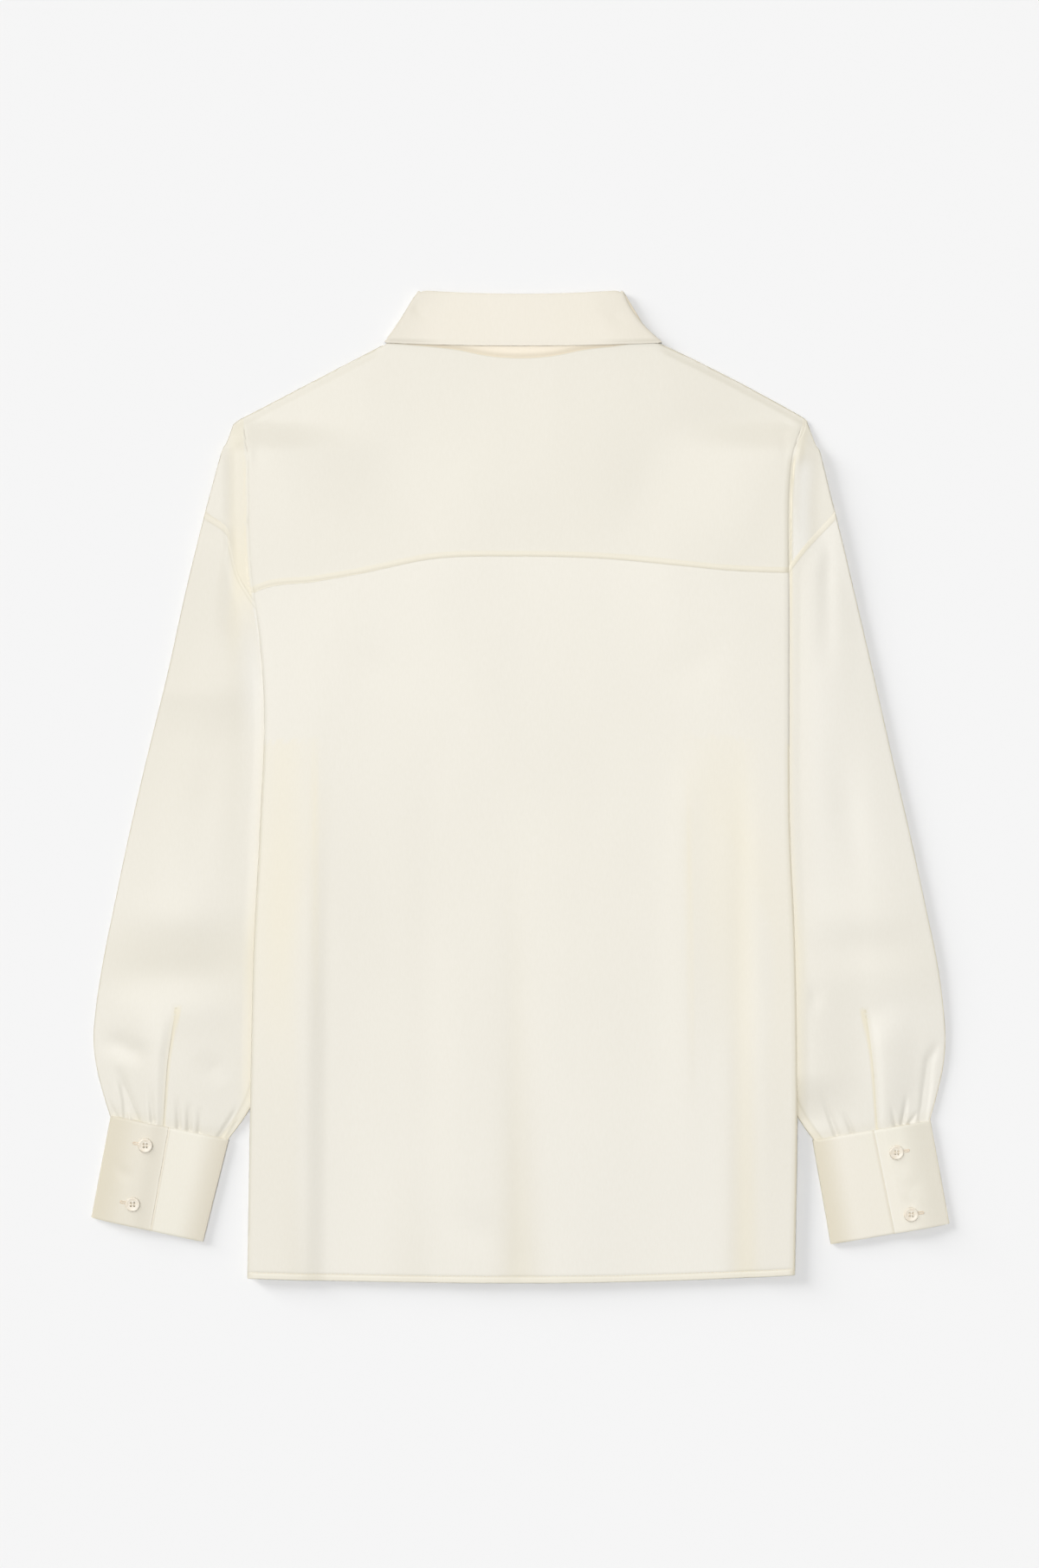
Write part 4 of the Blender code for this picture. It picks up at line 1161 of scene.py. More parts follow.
class Sleeve:
    """Places on one flattened sleeve.

    w runs along it, from the armhole to the cuff, and t across it, from its outer fold to
    its inner. Both go from 0 to 1.
    """

    def __init__(self, name):
        self.name = name
        self.cuff = CUFFS[name]
        seam = [YOKE_ROWS.columns[name][row] for row in (5, 6, 7, 8)]
        self.knots = np.array([*seam, *BODY_ROWS[:3]], float)
        self.first = self.armhole(0.0)
        self.last = self.armhole(1.0)

    def armhole(self, t):
        """Place on the armhole seam, on the body's edge."""
        y = np.interp(np.asarray(t) * ARMHOLE_STRETCHES, range(ARMHOLE_STRETCHES + 1), self.knots)
        fold = OUTLINE.at(self.name, ARMHOLE_TOP) - SKIN
        return np.minimum(ARMHOLE.at(self.name, y), fold), y

    def outer(self, w):
        y = mix(self.first[1], self.cuff["top_out"][1], w)
        return OUTLINE.at(self.name, y) - SKIN, y

    def inner(self, w):
        y = mix(self.last[1] - 0.6, self.cuff["top_in"][1], w)
        return SLEEVE_EDGE.at(self.name, y) + SKIN, y

    def straight(self, w, t):
        return tuple(mix(a, b, t) for a, b in zip(self.outer(w), self.inner(w)))

    def place(self, w, t):
        x, y = self.straight(w, t)
        start = self.straight(0, t)
        corner = self.armhole(t)
        bow = ramp(w, BOW_END, 0)
        return x + (corner[0] - start[0]) * bow, y + (corner[1] - start[1]) * bow

    def puff(self, w, t):
        """Height of the top layer over its flat."""
        name = self.name
        out, y = self.place(w, t)
        inner = np.maximum(BODY_EDGE.at(name, y) + 8, SLEEVE_EDGE.at(name, y))
        across = (out - inner) / np.maximum(OUTLINE.at(name, y) - SKIN - inner, 1)
        height = SLEEVE_PUFF.at(name, y) * np.sin(math.pi * np.clip(across, 0, 1)) * ramp(w, 0, 0.05)
        gathers = ramp(y, -232, -252)
        creased = relief(SLEEVE_CREASES[name], SIDES[name] * out, y, mix(1.0, 0.74, gathers))
        creased *= ramp(across, 0, 0.06) * ramp(across, 1, 0.95) * mix(1.25, 1.9, gathers)
        creased += relief(DROPPED_CREASES[name], SIDES[name] * out, y)
        from_seam = w * SLEEVE_LONG
        seam = 0.15 * ramp(from_seam, 6, 4.5) * ramp(from_seam, 0, 1.2)
        return height + shoulder_ridge(name, out, y) + np.maximum(creased, -height * 0.9 - 0.2) + seam

    def top(self, w, t):
        return ON_FLOOR + LIFT / 2 + self.puff(w, t)

    def fold(self, w, t):
        """Places and heights round a side fold: down the outer one, t = 0, or up the inner one."""
        end, sign = (self.outer, 1) if t == 0 else (self.inner, -1)
        before = end(np.maximum(w - 0.01, 0))
        after = end(np.minimum(w + 0.01, 1))
        along = unit(after[0] - before[0], after[1] - before[1])
        across = unit(*(a - b for a, b in zip(self.outer(1.0), self.inner(1.0))))
        away = [sign * np.where(w > 0.999, c, v) for c, v in zip(across, (-along[1], along[0]))]
        return round_fold(self.place(w, t), away, LIFT, ON_FLOOR - LIFT / 2, self.top(w, t), sign)

    def section(self, w):
        """Rows of (x, y, z, warm, line) from the slit outwards, under and back to the slit."""
        opening = ramp(w, SLIT_TOP, SLIT_OPEN)
        slit = ramp(w, SLIT_TOP - 0.012, SLIT_TOP)
        strips = Strips(w)
        for t in np.linspace(SLIT_PLACE, 0, TOP_STEPS + 1):
            near = (SLIT_PLACE - t) * SLEEVE_WIDE
            lift = (LIFT - 0.75 * ramp(near, 7, 0)) * opening * ramp(t, 0.15, 0.39)
            strips.add(self.place(w, t), self.top(w, t) + lift, 0.3 * slit * ramp(near, 3, 1))
        strips.add_fold(self.fold(w, 0), self.name == "right")
        for t in np.linspace(0, 1, UNDER_STEPS + 1):
            place = self.place(w, t)
            hollow = relief(UNDER_CREASES, *place) * math.sin(math.pi * t)
            strips.add(place, ON_FLOOR - LIFT / 2 + hollow)
        strips.add_fold(self.fold(w, 1), self.name == "left")
        # the inner top, with the slit's warm strip and a painted dark line of shade at its edge
        for t in np.linspace(1, SLIT_PLACE, TOP_STEPS + 1):
            near = (t - SLIT_PLACE) * SLEEVE_WIDE
            glow_wide = mix(4.0, 2.4, opening)
            glow = slit * ramp(near, glow_wide, glow_wide - 1.6)
            strips.add(self.place(w, t), self.top(w, t), glow, 0.2 * slit * bell(near))
        end = self.place(w, SLIT_PLACE)
        next_one = self.place(w, SLIT_PLACE - 0.08)
        outwards = unit(next_one[0] - end[0], next_one[1] - end[1])
        # the underlap: painted light in the slit's gap, and a painted dark line under the over part's edge
        for part in (0.1, 0.25, 0.5, 0.75, 1.0):
            lap = SLIT_LAP * opening * part
            under = (end[0] + outwards[0] * lap, end[1] + outwards[1] * lap)
            strips.add(under, self.top(w, SLIT_PLACE), 1.3 * slit, 0.8 * slit * (1 - part))
        return strips.points()


def tucked(points):
    """The rows with two more at each end, under the body's edge and under the cuff."""
    def beyond(end, inner, reach, flatter):
        along = end[:, :2] - inner[:, :2]
        along /= np.maximum(np.linalg.norm(along, axis=1), 1e-6)[:, None]
        row = end.copy()
        row[:, :2] += along * reach
        row[:, 2] = ON_FLOOR + (row[:, 2] - ON_FLOOR) * flatter
        return row[None]

    return np.concatenate([
        beyond(points[0], points[2], 2.0, 0.7), beyond(points[0], points[2], 0.8, 0.97), points,
        beyond(points[-1], points[-3], 0.7, 0.95), beyond(points[-1], points[-3], 1.8, 0.6),
    ])


def near_body_warmth(name, out, y):
    """Warmth beside the body's edge, over the pleat above and along the lower sleeve, and painted light on
    the sleeve close to the edge, which shades it.
    """
    past = past_edge(name, out, y)
    warm = np.maximum(strip_warmth(name, out, y), 0.5 * ramp(y, -60, -140) * ramp(past, 11, 3))
    # painted light where the body's edge drops, and on the sleeve close beside it
    warm = warm + 0.6 * edge_painted_light(name, out, y) * ramp(y, 110, 170)
    glow = ramp(past, 3.4, 1.0) * by_side(name, 0.1 * ramp(y, 140, 100), 0.5 * ramp(y, 250, 220))
    return warm + glow * (1 - 0.4 * np.clip(warm, 0, 1))


def sleeve_tint(name, points, w):
    """The points' (warm, line), with the armhole's seam, the roll beside the body and the fall
    of light along the sleeve added to those of the slit and the folds."""
    out, y, z, warm, line = np.moveaxis(points, -1, 0)
    top = z > ON_FLOOR
    plain = top * (1 - np.clip(1.5 * warm, 0, 1))
    from_seam = (w * SLEEVE_LONG)[:, None]
    to_cuff = ((1 - w) * SLEEVE_LONG)[:, None]
    past = past_edge(name, out, y)
    past_fold = (out - SLEEVE_EDGE.at(name, y)) * SLEEVE_SLANT
    band = by_side(name, 0.5, 0.8) * ramp(from_seam, 6, 4.8)
    inner_fold = 0.6 * ramp(past_fold, 5.6, 4.2) * ramp(y, -150, -210)
    beside = np.maximum(near_body_warmth(name, out, y), inner_fold)
    warm = warm + top * (np.maximum(band, beside) + 0.25 * ramp(to_cuff, 14, 2))
    below = ramp(y, -130, -190)
    off_body = ramp(past, 6, 24)
    if name == "left":
        # painted shade: darker up the left sleeve away from the body, and in a soft band across it lower
        # down
        upper = 0.13 * ramp(y, -120, 40) * off_body + 0.15 * bell(y + 136, 30)
        warm = warm - 0.13 * below * plain
        warm = warm - 0.4 * top * (1 - off_body) * ramp(y, 20, 80) * ramp(y, 170, 130)
    else:
        upper = 0.0
        warm = warm - (0.2 + 0.22 * ramp(past, 30, 90)) * below * plain
        warm = warm - 0.26 * top * off_body * ramp(y, -200, -20)
    long_seam = bell(past_fold - 7.5 * SLEEVE_SLANT, 0.7) * ramp(y, -170, -200)
    seams = 0.1 * bell(from_seam - 0.2, 0.7) + 0.3 * long_seam
    return warm, line + top * (upper + seams + 0.05 * below)


def make_sleeve(name, material):
    # finer at the armhole's seam, at the slit's top and over the gathers
    w = spread((0, 0.016, 0.1, 0.24, 0.7, 0.765, 0.79, 0.9, 0.985, 1.0),
               (11, 12, 12, 46, 8, 8, 16, 26, 7))
    points = Sleeve(name).section(w)
    tints = sleeve_tint(name, points, w)
    points = tucked(points[:, :, :3])
    points[:, :, 0] *= SIDES[name]
    sheet = Sheet()
    sheet.grid(points, *(np.concatenate([v[:1], v[:1], v, v[-1:], v[-1:]]) for v in tints))
    piece = cloth_object(f"sleeve_{name}_cloth", sheet, SHELL, material, f"sleeve_{name}")


# ---------------------------------------------------------------- cuffs
#
# across runs from a cuff's outer fold to its inner, and along from its top to its end.

# finer at the fold and at the lap's edge
OVER_PARTS = spread((1, 0.94, 0.3, 0.0), (6, 18, 12))
UNDER_PARTS = spread((0, 0.3, 0.92, 1.0), (12, 18, 8))


def cuff_place(name, across, along):
    cuff = CUFFS[name]
    skin = (CUFF_LIFT + CUFF_CLOTH) / 2
    rows = []
    for out_end, in_end in (("top_out", "top_in"), ("end_out", "end_in")):
        first = (cuff[out_end][0] - skin, cuff[out_end][1])
        second = (cuff[in_end][0] + skin, cuff[in_end][1])
        rows.append([mix(a, b, across) for a, b in zip(first, second)])
    return tuple(mix(a, b, along) for a, b in zip(*rows))


def cuff_width(name):
    return math.dist(CUFFS[name]["top_out"], CUFFS[name]["top_in"])


def cuff_height(name, across, along, layer):
    """Height of a top layer: level in the middle, and rounded down to the folds and ends."""
    near = np.minimum(across, 1 - across) * cuff_width(name)
    side = 1 - (1 - np.clip(near / CUFF_ROUND, 0, 1)) ** 2
    ends = ramp(along * CUFF_LONG, -0.77, 1.43) * ramp((1 - along) * CUFF_LONG, -0.6, 0.6)
    x, y = cuff_place(name, across, along)
    creased = relief(CUFF_CREASES[name], SIDES[name] * x, y)
    crown = (CUFF_CROWN + creased) * side + 0.55 * (ends - 1) * ramp(near, 0, 4)
    return CUFF_CLOTH / 2 + CUFF_LIFT * layer + crown


def cuff_fold(name, along, across):
    """Places and heights round a side fold: down the outer one, at 0, or up the inner one."""
    place = cuff_place(name, across, along)
    away = unit(*(a - b for a, b in zip(place, cuff_place(name, 0.5, along))))
    low = CUFF_CLOTH / 2
    return round_fold(place, away, CUFF_LIFT, low, low + CUFF_LIFT, 1 if across == 0 else -1)


def over_tint(name, from_fold, from_lap):
    """(warm, line) of the over-part, at these distances from its fold and its edge: painted shade
    towards its outer fold, darker all over on the left cuff, and a painted highlight along its edge.
    """
    warm, line = by_side(name, (0.72, 0.03 + 0.22 * ramp(from_fold, 30, 0)),
                         (0.3 * ramp(from_fold, 26, 0), 0.0))
    return warm - 0.35 * ramp(from_lap, 1.8, 0.6), line


def under_tint(name, from_fold, from_lap):
    """The same of the part below it: painted shade towards its inner fold and beside the over-part's
    edge, with a painted dark line along that edge.
    """
    warm = 0.9 * ramp(from_fold, 26, 0) + by_side(name, 1.5, 1.0) * ramp(from_lap, 2.6, 0.8)
    return warm, 0.1 * bell(from_lap) + by_side(name, 0.12, 0.28) * ramp(from_fold, 24, 0)


def cuff_section(name, along):
    """Rows from the over-part's edge outwards, under the cuff to the end beneath."""
    wide = cuff_width(name)
    lap = mix(CUFFS[name]["lap_top"], CUFFS[name]["lap_end"], along)
    strips = Strips(along)
    for part in OVER_PARTS:
        across = lap * part
        from_lap = (1 - part) * CUFF_PART
        settled = 0.5 * ramp(from_lap, by_side(name, 16, 9), 0)
        layer = mix(1.0, 2.0 - settled, ramp(across, -0.03, 0.27))
        strips.add(cuff_place(name, across, along), cuff_height(name, across, along, layer),
                   *over_tint(name, across * wide, from_lap))
    strips.add_fold(cuff_fold(name, along, 0), name == "right")
    for across in np.linspace(0, 1, CUFF_UNDER_STEPS + 1):
        strips.add(cuff_place(name, across, along), CUFF_CLOTH / 2, 0.6)
    strips.add_fold(cuff_fold(name, along, 1), name == "left")
    for part in UNDER_PARTS:
        across = mix(1.0, lap, part)
        strips.add(cuff_place(name, across, along), cuff_height(name, across, along, 1),
                   *under_tint(name, (1 - across) * wide, (1 - part) * CUFF_PART))
    for part in np.linspace(0, 1, 7)[1:]:
        across = lap - part * CUFF_LAP / wide
        strips.add(cuff_place(name, across, along), cuff_height(name, across, along, 1), 0.6, 0.6)
    return strips.points()


def make_cuff(name, material):
    points = cuff_section(name, spread((0, 0.04, 0.96, 1.0), (5, 34, 5)))
    points[:, :, 0] *= SIDES[name]
    sheet = Sheet()
    sheet.grid(points[:, :, :3], points[:, :, 3], points[:, :, 4])
    piece = cloth_object(f"cuff_{name}_cloth", sheet, CUFF_CLOTH, material, f"cuff_{name}")


def cuff_spot(name, x, y):
    """(across, along) of a place on the cuff, found by Newton's steps."""
    spot = np.array([0.3, 0.4])
    for _ in range(12):
        here = np.array(cuff_place(name, *spot))
        steps = [np.array(cuff_place(name, *(spot + d))) - here for d in ((1e-3, 0), (0, 1e-3))]
        spot = spot + np.linalg.solve(np.stack(steps, 1), np.array([x, y]) - here) * 1e-3
    return spot


def cuff_top(name, x, y):
    return float(cuff_height(name, *cuff_spot(name, x, y), 2.0)) + CUFF_CLOTH / 2


# ---------------------------------------------------------------- collar


def neck_place(name, column):
    """Place of the collar's seam on the neck."""
    out = COLLAR.at("seam_out", column)
    if column <= COLLAR_FOLD_END:
        return out, BACK_NECK.at("y", out) - STAND_TUCK
    if out > NECK_HALF - SHOULDER_RETURN:
        return out, shoulder_y(name, out) - SHOULDER_RETURN
    return out, front_top_y(name, out) + 1.5 * SEAM


class CollarColumn:
    """One line across the collar, from its neck seam over the roll to its outer edge."""

    def __init__(self, name, column):
        self.side = SIDES[name]
        self.column = column
        self.bow = COLLAR_BOW[name]
        self.roll = (COLLAR.at("roll_out", column), COLLAR.at("roll_y", column))
        self.edge = (COLLAR.at(f"edge_{name}", column), COLLAR.at("edge_y", column))
        self.seam = neck_place(name, column)
        turned = (column - COLLAR_FOLD_START) / (COLLAR_FOLD_END - COLLAR_FOLD_START)
        self.turn = math.pi * float(np.clip(turned, 0, 1))
        self.up = unit(self.roll[0] - self.edge[0], self.roll[1] - self.edge[1])

    def point(self, place, radius, lift=0.0):
        reach = radius * math.sin(self.turn)
        out = place[0] + self.up[1] * reach + self.up[0] * lift
        y = place[1] - self.up[0] * reach + self.up[1] * lift
        z = COLLAR_MIDDLE + radius * math.cos(self.turn)
        return self.side * out, y, z

    def below_roll(self, length):
        return self.roll[0] - self.up[0] * length, self.roll[1] - self.up[1] * length

    def bowed(self, place, part):
        """The place moved in where the collar's short end curves, and down at its top corner."""
        inwards = self.bow * 4 * part * (1 - part) * float(ramp(self.column, 1.2, 3.0))
        at_end = float(np.clip((self.column - 2.6) / 0.4, 0, 1)) ** 2
        return place[0] - inwards, place[1] - 1.3 * bell(part, 0.1) * at_end

    def stand(self):
        top = self.below_roll(ROLL_RADIUS + COLLAR_CLOTH / 2 + 2 * SEAM)
        back = ramp(self.turn, 0.3, 0)
        points = []
        for part in spread((0, 0.2, 1.0), (8, 10)):
            place = tuple(mix(a, b, part) for a, b in zip(self.seam, top))
            x, y, z = self.point(place, STAND_RADIUS)
            raised = back * (STAND_RAISE - ramp(part, 0.12, 0))
            points.append((x, y, z + closure_rise(abs(x), y) + raised))
        return points

    def fall(self):
        centre = self.below_roll(ROLL_RADIUS + COLLAR_CLOTH / 2)
        long = math.dist(centre, self.edge)
        level = math.cos(self.turn)
        edge_drop = mix(FALL_DROP, 0.45, ramp(self.column, 1.4, 2.2)) * level
        points = []
        for angle in np.linspace(0, math.pi, ARC_STEPS + 1):
            radius = STAND_RADIUS + ROLL_RADIUS * (1 - math.cos(angle))
            points.append(self.point(self.bowed(centre, 0), radius, ROLL_RADIUS * math.sin(angle)))
        for part in spread((0, 0.8, 1.0), (16, 10))[1:]:
            place = tuple(mix(a, b, part) for a, b in zip(centre, self.edge))
            x, y, z = self.point(self.bowed(place, part), FALL_RADIUS)
            drop = edge_drop * ramp((1 - part) * long, 5, 0)
            points.append((x, y, z + relief(COLLAR_CREASES, x, y) * level - drop))
        return points


def collar_columns():
    """Columns round the whole neck, from the left leaf's front to the right one's."""
    fine = spread(COLLAR.key, [12] * 3 + [5] * 3 + [6] * 4)
    left = [CollarColumn("left", c) for c in fine[::-1] if c > 0]
    return left + [CollarColumn("right", c) for c in fine]


def stand_end(name):
    end = CollarColumn(name, len(COLLAR.key) - 1)
    end.roll = (STAND_END, end.roll[1] - 4)
    end.seam = (STAND_END, float(front_top_y(name, STAND_END)) + 1.5 * SEAM)
    end.up = (0.0, 1.0)
    return end


def make_fall(columns, material):
    """The fall, with painted shade towards its short ends and a painted dark line along its edge."""
    points = np.array([column.fall() for column in columns], float)
    number = np.array([c.column for c in columns])[:, None]
    rows = np.linspace(0, 1, points.shape[1])
    sheet = Sheet()
    sheet.grid(points, 0.8 * ramp(number, 1.6, 3.2), 0.12 * ramp(rows, 0.97, 1))
    piece = cloth_object("collar_fall_cloth", sheet, COLLAR_SHELL, material, "collar_fall", 0.02)


def make_stand(columns, material):
    columns = [stand_end("left"), *columns, stand_end("right")]
    points = np.array([column.stand() for column in columns], float)
    rows = np.linspace(0, 1, points.shape[1])
    sheet = Sheet()
    sheet.grid(points, 0.4 * ramp(rows, 0.1, 0.05))
    piece = cloth_object("collar_stand_cloth", sheet, COLLAR_SHELL, material, "collar_stand", 0.02)


# ---------------------------------------------------------------- stitches

HEM_STEP = 3.0
# long, wide and tall
HEM_STITCH = (2.3, 0.42, 0.16)
WORK_STITCH = (1.25, 0.5, 0.2)
BUTTON_STITCH = (2 * HOLE_APART + 1.0, 0.9, 0.45)
WORK_STEP = 0.42
SLOT_START, SLOT_END = -3.0, 9.6  # of a buttonhole, from the button's middle outwards
SLOT_HALF = 0.75

STITCH_RING = ((1, 0), (0.6, 0.8), (-0.6, 0.8), (-1, 0), (-0.6, -0.8), (0.6, -0.8))
STITCH_CROWN = ((0.55, 0.35), (-0.55, 0.35), (-0.55, -0.35), (0.55, -0.35))
STITCH_FACES = (
    (6, 7, 8, 9), (0, 1, 6), (1, 2, 7, 6), (2, 3, 7), (3, 8, 7),
    (3, 4, 8), (4, 5, 9, 8), (5, 0, 9), (0, 6, 9),
)


def add_thread(name, places, along, size, material):
    """Short threads, each a small pointed loaf. places and along are (count, 3)."""
    long, wide, tall = size
    shape = [(x, y, 0) for x, y in STITCH_RING] + [(x, y, 1) for x, y in STITCH_CROWN]
    shape = np.array(shape) * (long / 2, wide / 2, tall)
    points, faces = [], []
    for number, (place, way) in enumerate(zip(np.asarray(places, float), np.asarray(along, float))):
        ahead = way / np.linalg.norm(way)
        across = np.array([-ahead[1], ahead[0], 0.0])
        across /= np.linalg.norm(across)
        points.append(place + shape @ np.stack([ahead, across, np.cross(ahead, across)]))
        faces.extend(tuple(i + number * len(shape) for i in face) for face in STITCH_FACES)
    mesh = bpy.data.meshes.new(name)
    mesh.from_pydata((np.concatenate(points) * MM).tolist(), [], faces)
    mesh.shade_smooth()
    add_piece(name, mesh, material)


def stitch_line(line, step):
    """Places and directions of stitches at equal steps along a line of points."""
    reach = np.append(0, np.cumsum(np.linalg.norm(np.diff(line, axis=0), axis=1)))
    at = np.arange(step / 2, reach[-1], step)

    def along(distance):
        return np.stack([np.interp(distance, reach, line[:, k]) for k in range(3)], -1)

    return along(at), along(at + 0.5) - along(at - 0.5)


def back_top(name, out, y):
    """Height of the back's outer face."""
    z = back_height(name, out, y) + CLOSURE_AIR * closure_share(out, y)
    z += relief(BACK_CREASES, SIDES[name] * out, y) + back_relief(name, out, y)
    return z + (LIFT + SHELL) / 2


def hem_stitches(material):
    lines = []
    for name, side in SIDES.items():
        out = np.linspace(0, BODY_EDGE.at(name, HEM_MIDDLE) - 3.5, 160)
        wave = 0.25 * np.sin(out / 17.0) + 0.15 * np.sin(out / 7.3 + 1)
        y = hem_y(name, out) + HEM_WIDE + wave
        lines.append(np.stack([side * out, y, back_top(name, out, y) - 0.02], -1))
    line = np.concatenate([lines[0][::-1], lines[1][1:]])
    add_thread("hem_stitches", *stitch_line(line, HEM_STEP), HEM_STITCH, material)


def buttonhole(name, end, material):
    """A worked slit running outwards from under its button."""
    across, along = cuff_spot(name, *CUFF_BUTTONS[name][end])
    outwards = np.array(cuff_place(name, across - 0.3, along))
    middle = np.array(cuff_place(name, across, along))
    way = (outwards - middle) / np.linalg.norm(outwards - middle)
    cross = np.array([-way[1], way[0]])
    stitches = []
    for reach in np.arange(SLOT_START, SLOT_END, WORK_STEP):
        for sign in (1, -1):
            stitches.append((middle + way * reach + cross * SLOT_HALF * sign, cross * sign))
    for turn in np.linspace(-1, 1, 7) * math.pi / 2:
        spoke = way * math.cos(turn) + cross * math.sin(turn)
        stitches.append((middle + way * (SLOT_END - 0.2) + spoke * SLOT_HALF, spoke))
    side = SIDES[name]
    points = [(side * x, y, cuff_top(name, x, y) - 0.05) for (x, y), _ in stitches]
    ways = [(side * x, y, 0.0) for _, (x, y) in stitches]
    add_thread(f"buttonhole_{name}_{end}", points, ways, WORK_STITCH, material)


# ---------------------------------------------------------------- materials

# the palest the cloth gets, where warm is below 0: painted light on edges and slopes, and paler
# cloth low on the back. At 2 a light yellow: painted light that lightens shaded edges and folds
PALE = "FCFAF4"
PAINTED_GLOW = (0.95, 0.88, 0.73)


def colour(code):
    """Linear colour of a six-digit display colour."""
    parts = [int(code[i : i + 2], 16) / 255 for i in (0, 2, 4)]
    return tuple(p / 12.92 if p <= 0.04045 else ((p + 0.055) / 1.055) ** 2.4 for p in parts)


def worn(code):
    """Base colour of cloth that shows this display colour when it lies flat in this light."""
    return tuple((part - FLAT_GLOSS) / FLAT_LIGHT for part in colour(code))


class Look:
    """A Principled material whose colour is built up from nodes."""

    def __init__(self, name, roughness, specular=0.5):
        self.material = bpy.data.materials.new(name)
        self.material.use_nodes = True
        self.nodes = self.material.node_tree.nodes
        self.link = self.material.node_tree.links.new
        self.shader = self.nodes["Principled BSDF"].inputs
        self.shader["Roughness"].default_value = roughness
        self.shader["Specular IOR Level"].default_value = specular

    def noise(self, scale, detail, stretch=(1, 1, 1)):
        """A noise texture over the object's places, stretched by these factors."""
        grid = self.nodes.new("ShaderNodeMapping")
        grid.inputs["Scale"].default_value = stretch
        texture = self.nodes.new("ShaderNodeTexNoise")
        texture.inputs["Scale"].default_value = scale
        texture.inputs["Detail"].default_value = detail
        place = self.nodes.new("ShaderNodeTexCoord").outputs["Object"]
        self.link(place, grid.inputs["Vector"])
        self.link(grid.outputs["Vector"], texture.inputs["Vector"])
        return texture.outputs["Fac"]

    def ranged(self, value, low, high, most=1.0):
        """The value's way from low to high, as 0 to this much."""
        node = self.nodes.new("ShaderNodeMapRange")
        node.inputs["From Min"].default_value = low
        node.inputs["From Max"].default_value = high
        node.inputs["To Max"].default_value = most
        self.link(value, node.inputs["Value"])
        return node.outputs["Result"]

    def blend(self, share, first, second):
        """A mix of two colours, each a fixed colour or a node's output."""
        node = self.nodes.new("ShaderNodeMix")
        node.data_type = "RGBA"
        self.link(share, node.inputs["Factor"])
        for socket, value in ((node.inputs[6], first), (node.inputs[7], second)):
            if isinstance(value, tuple):
                socket.default_value = (*value, 1)
            else:
                self.link(value, socket)
        return node.outputs[2]

    def attribute(self, name):
        node = self.nodes.new("ShaderNodeAttribute")
        node.attribute_name = name
        return node.outputs["Fac"]


def cloth_material(name, plain, cool, warm, dark, roughness=0.45):
    """Smooth woven cloth in two near colours, warmer where it is thick and darker on seams, with painted
    light and painted shade along edges, folds and creases.
    """
    look = Look(name, roughness)
    patches = look.ranged(look.noise(scale=7.0, detail=2.0, stretch=(1.5, 0.7, 1)), 0.36, 0.64)
    tint = look.blend(patches, worn(cool), worn(plain))
    warmth = look.attribute("warm")
    # warm below 0 goes to the pale colour and from 1 to 2 to the glow, both painted light; line darkens
    # seams and paints shade on folds and creases
    tint = look.blend(look.ranged(warmth, -1, 0), worn(PALE), tint)
    tint = look.blend(look.ranged(warmth, 0, 1), tint, worn(warm))
    tint = look.blend(look.ranged(warmth, 1, 2), tint, PAINTED_GLOW)
    threads = look.noise(scale=900.0, detail=2.0, stretch=(1, 0.25, 1))
    threads = look.ranged(threads, 0.3, 0.7, most=0.05)
    tint = look.blend(threads, tint, worn(dark))
    tint = look.blend(look.attribute("line"), tint, worn(dark))
    look.link(tint, look.shader["Base Color"])
    bump = look.nodes.new("ShaderNodeBump")
    bump.inputs["Strength"].default_value = 0.06
    bump.inputs["Distance"].default_value = 0.0002
    look.link(look.noise(scale=1700.0, detail=2.0), bump.inputs["Height"])
    look.link(bump.outputs["Normal"], look.shader["Normal"])
    return look.material


def shell_material(name, light, dark):
    """Pale polished shell with soft bands."""
    look = Look(name, roughness=0.42)
    bands = look.ranged(look.noise(scale=260.0, detail=1.0, stretch=(1, 2.2, 1)), 0.35, 0.65)
    look.link(look.blend(bands, worn(dark), worn(light)), look.shader["Base Color"])
    return look.material


# ---------------------------------------------------------------- buttons


def built_mesh(name, build):
    mesh = bpy.data.meshes.new(name)
    build.to_mesh(mesh)
    build.free()
    return mesh


def spun(profile, steps=40):
    """A turned body with this profile of (radius, height)."""
    build = bmesh.new()
    verts = [build.verts.new((x * MM, 0, z * MM)) for x, z in profile]
    edges = [build.edges.new(pair) for pair in zip(verts, verts[1:])]
    bmesh.ops.spin(build, geom=verts + edges, cent=(0, 0, 0), axis=(0, 0, 1),
                   angle=2 * math.pi, steps=steps, use_merge=True)
    bmesh.ops.remove_doubles(build, verts=build.verts, dist=0.00001)
    bmesh.ops.recalc_face_normals(build, faces=build.faces)
    return built_mesh("spun", build)


def four_pins():
    """Four upright pins where a button's holes go."""
    build = bmesh.new()
    radius = HOLE_WIDE / 2 * MM
    for x in (-HOLE_APART, HOLE_APART):
        for y in (-HOLE_APART, HOLE_APART):
            made = bmesh.ops.create_cone(build, cap_ends=True, segments=14, radius1=radius,
                                         radius2=radius, depth=6 * MM)
            bmesh.ops.translate(build, verts=made["verts"], vec=(x * MM, y * MM, 0))
    return built_mesh("pins", build)


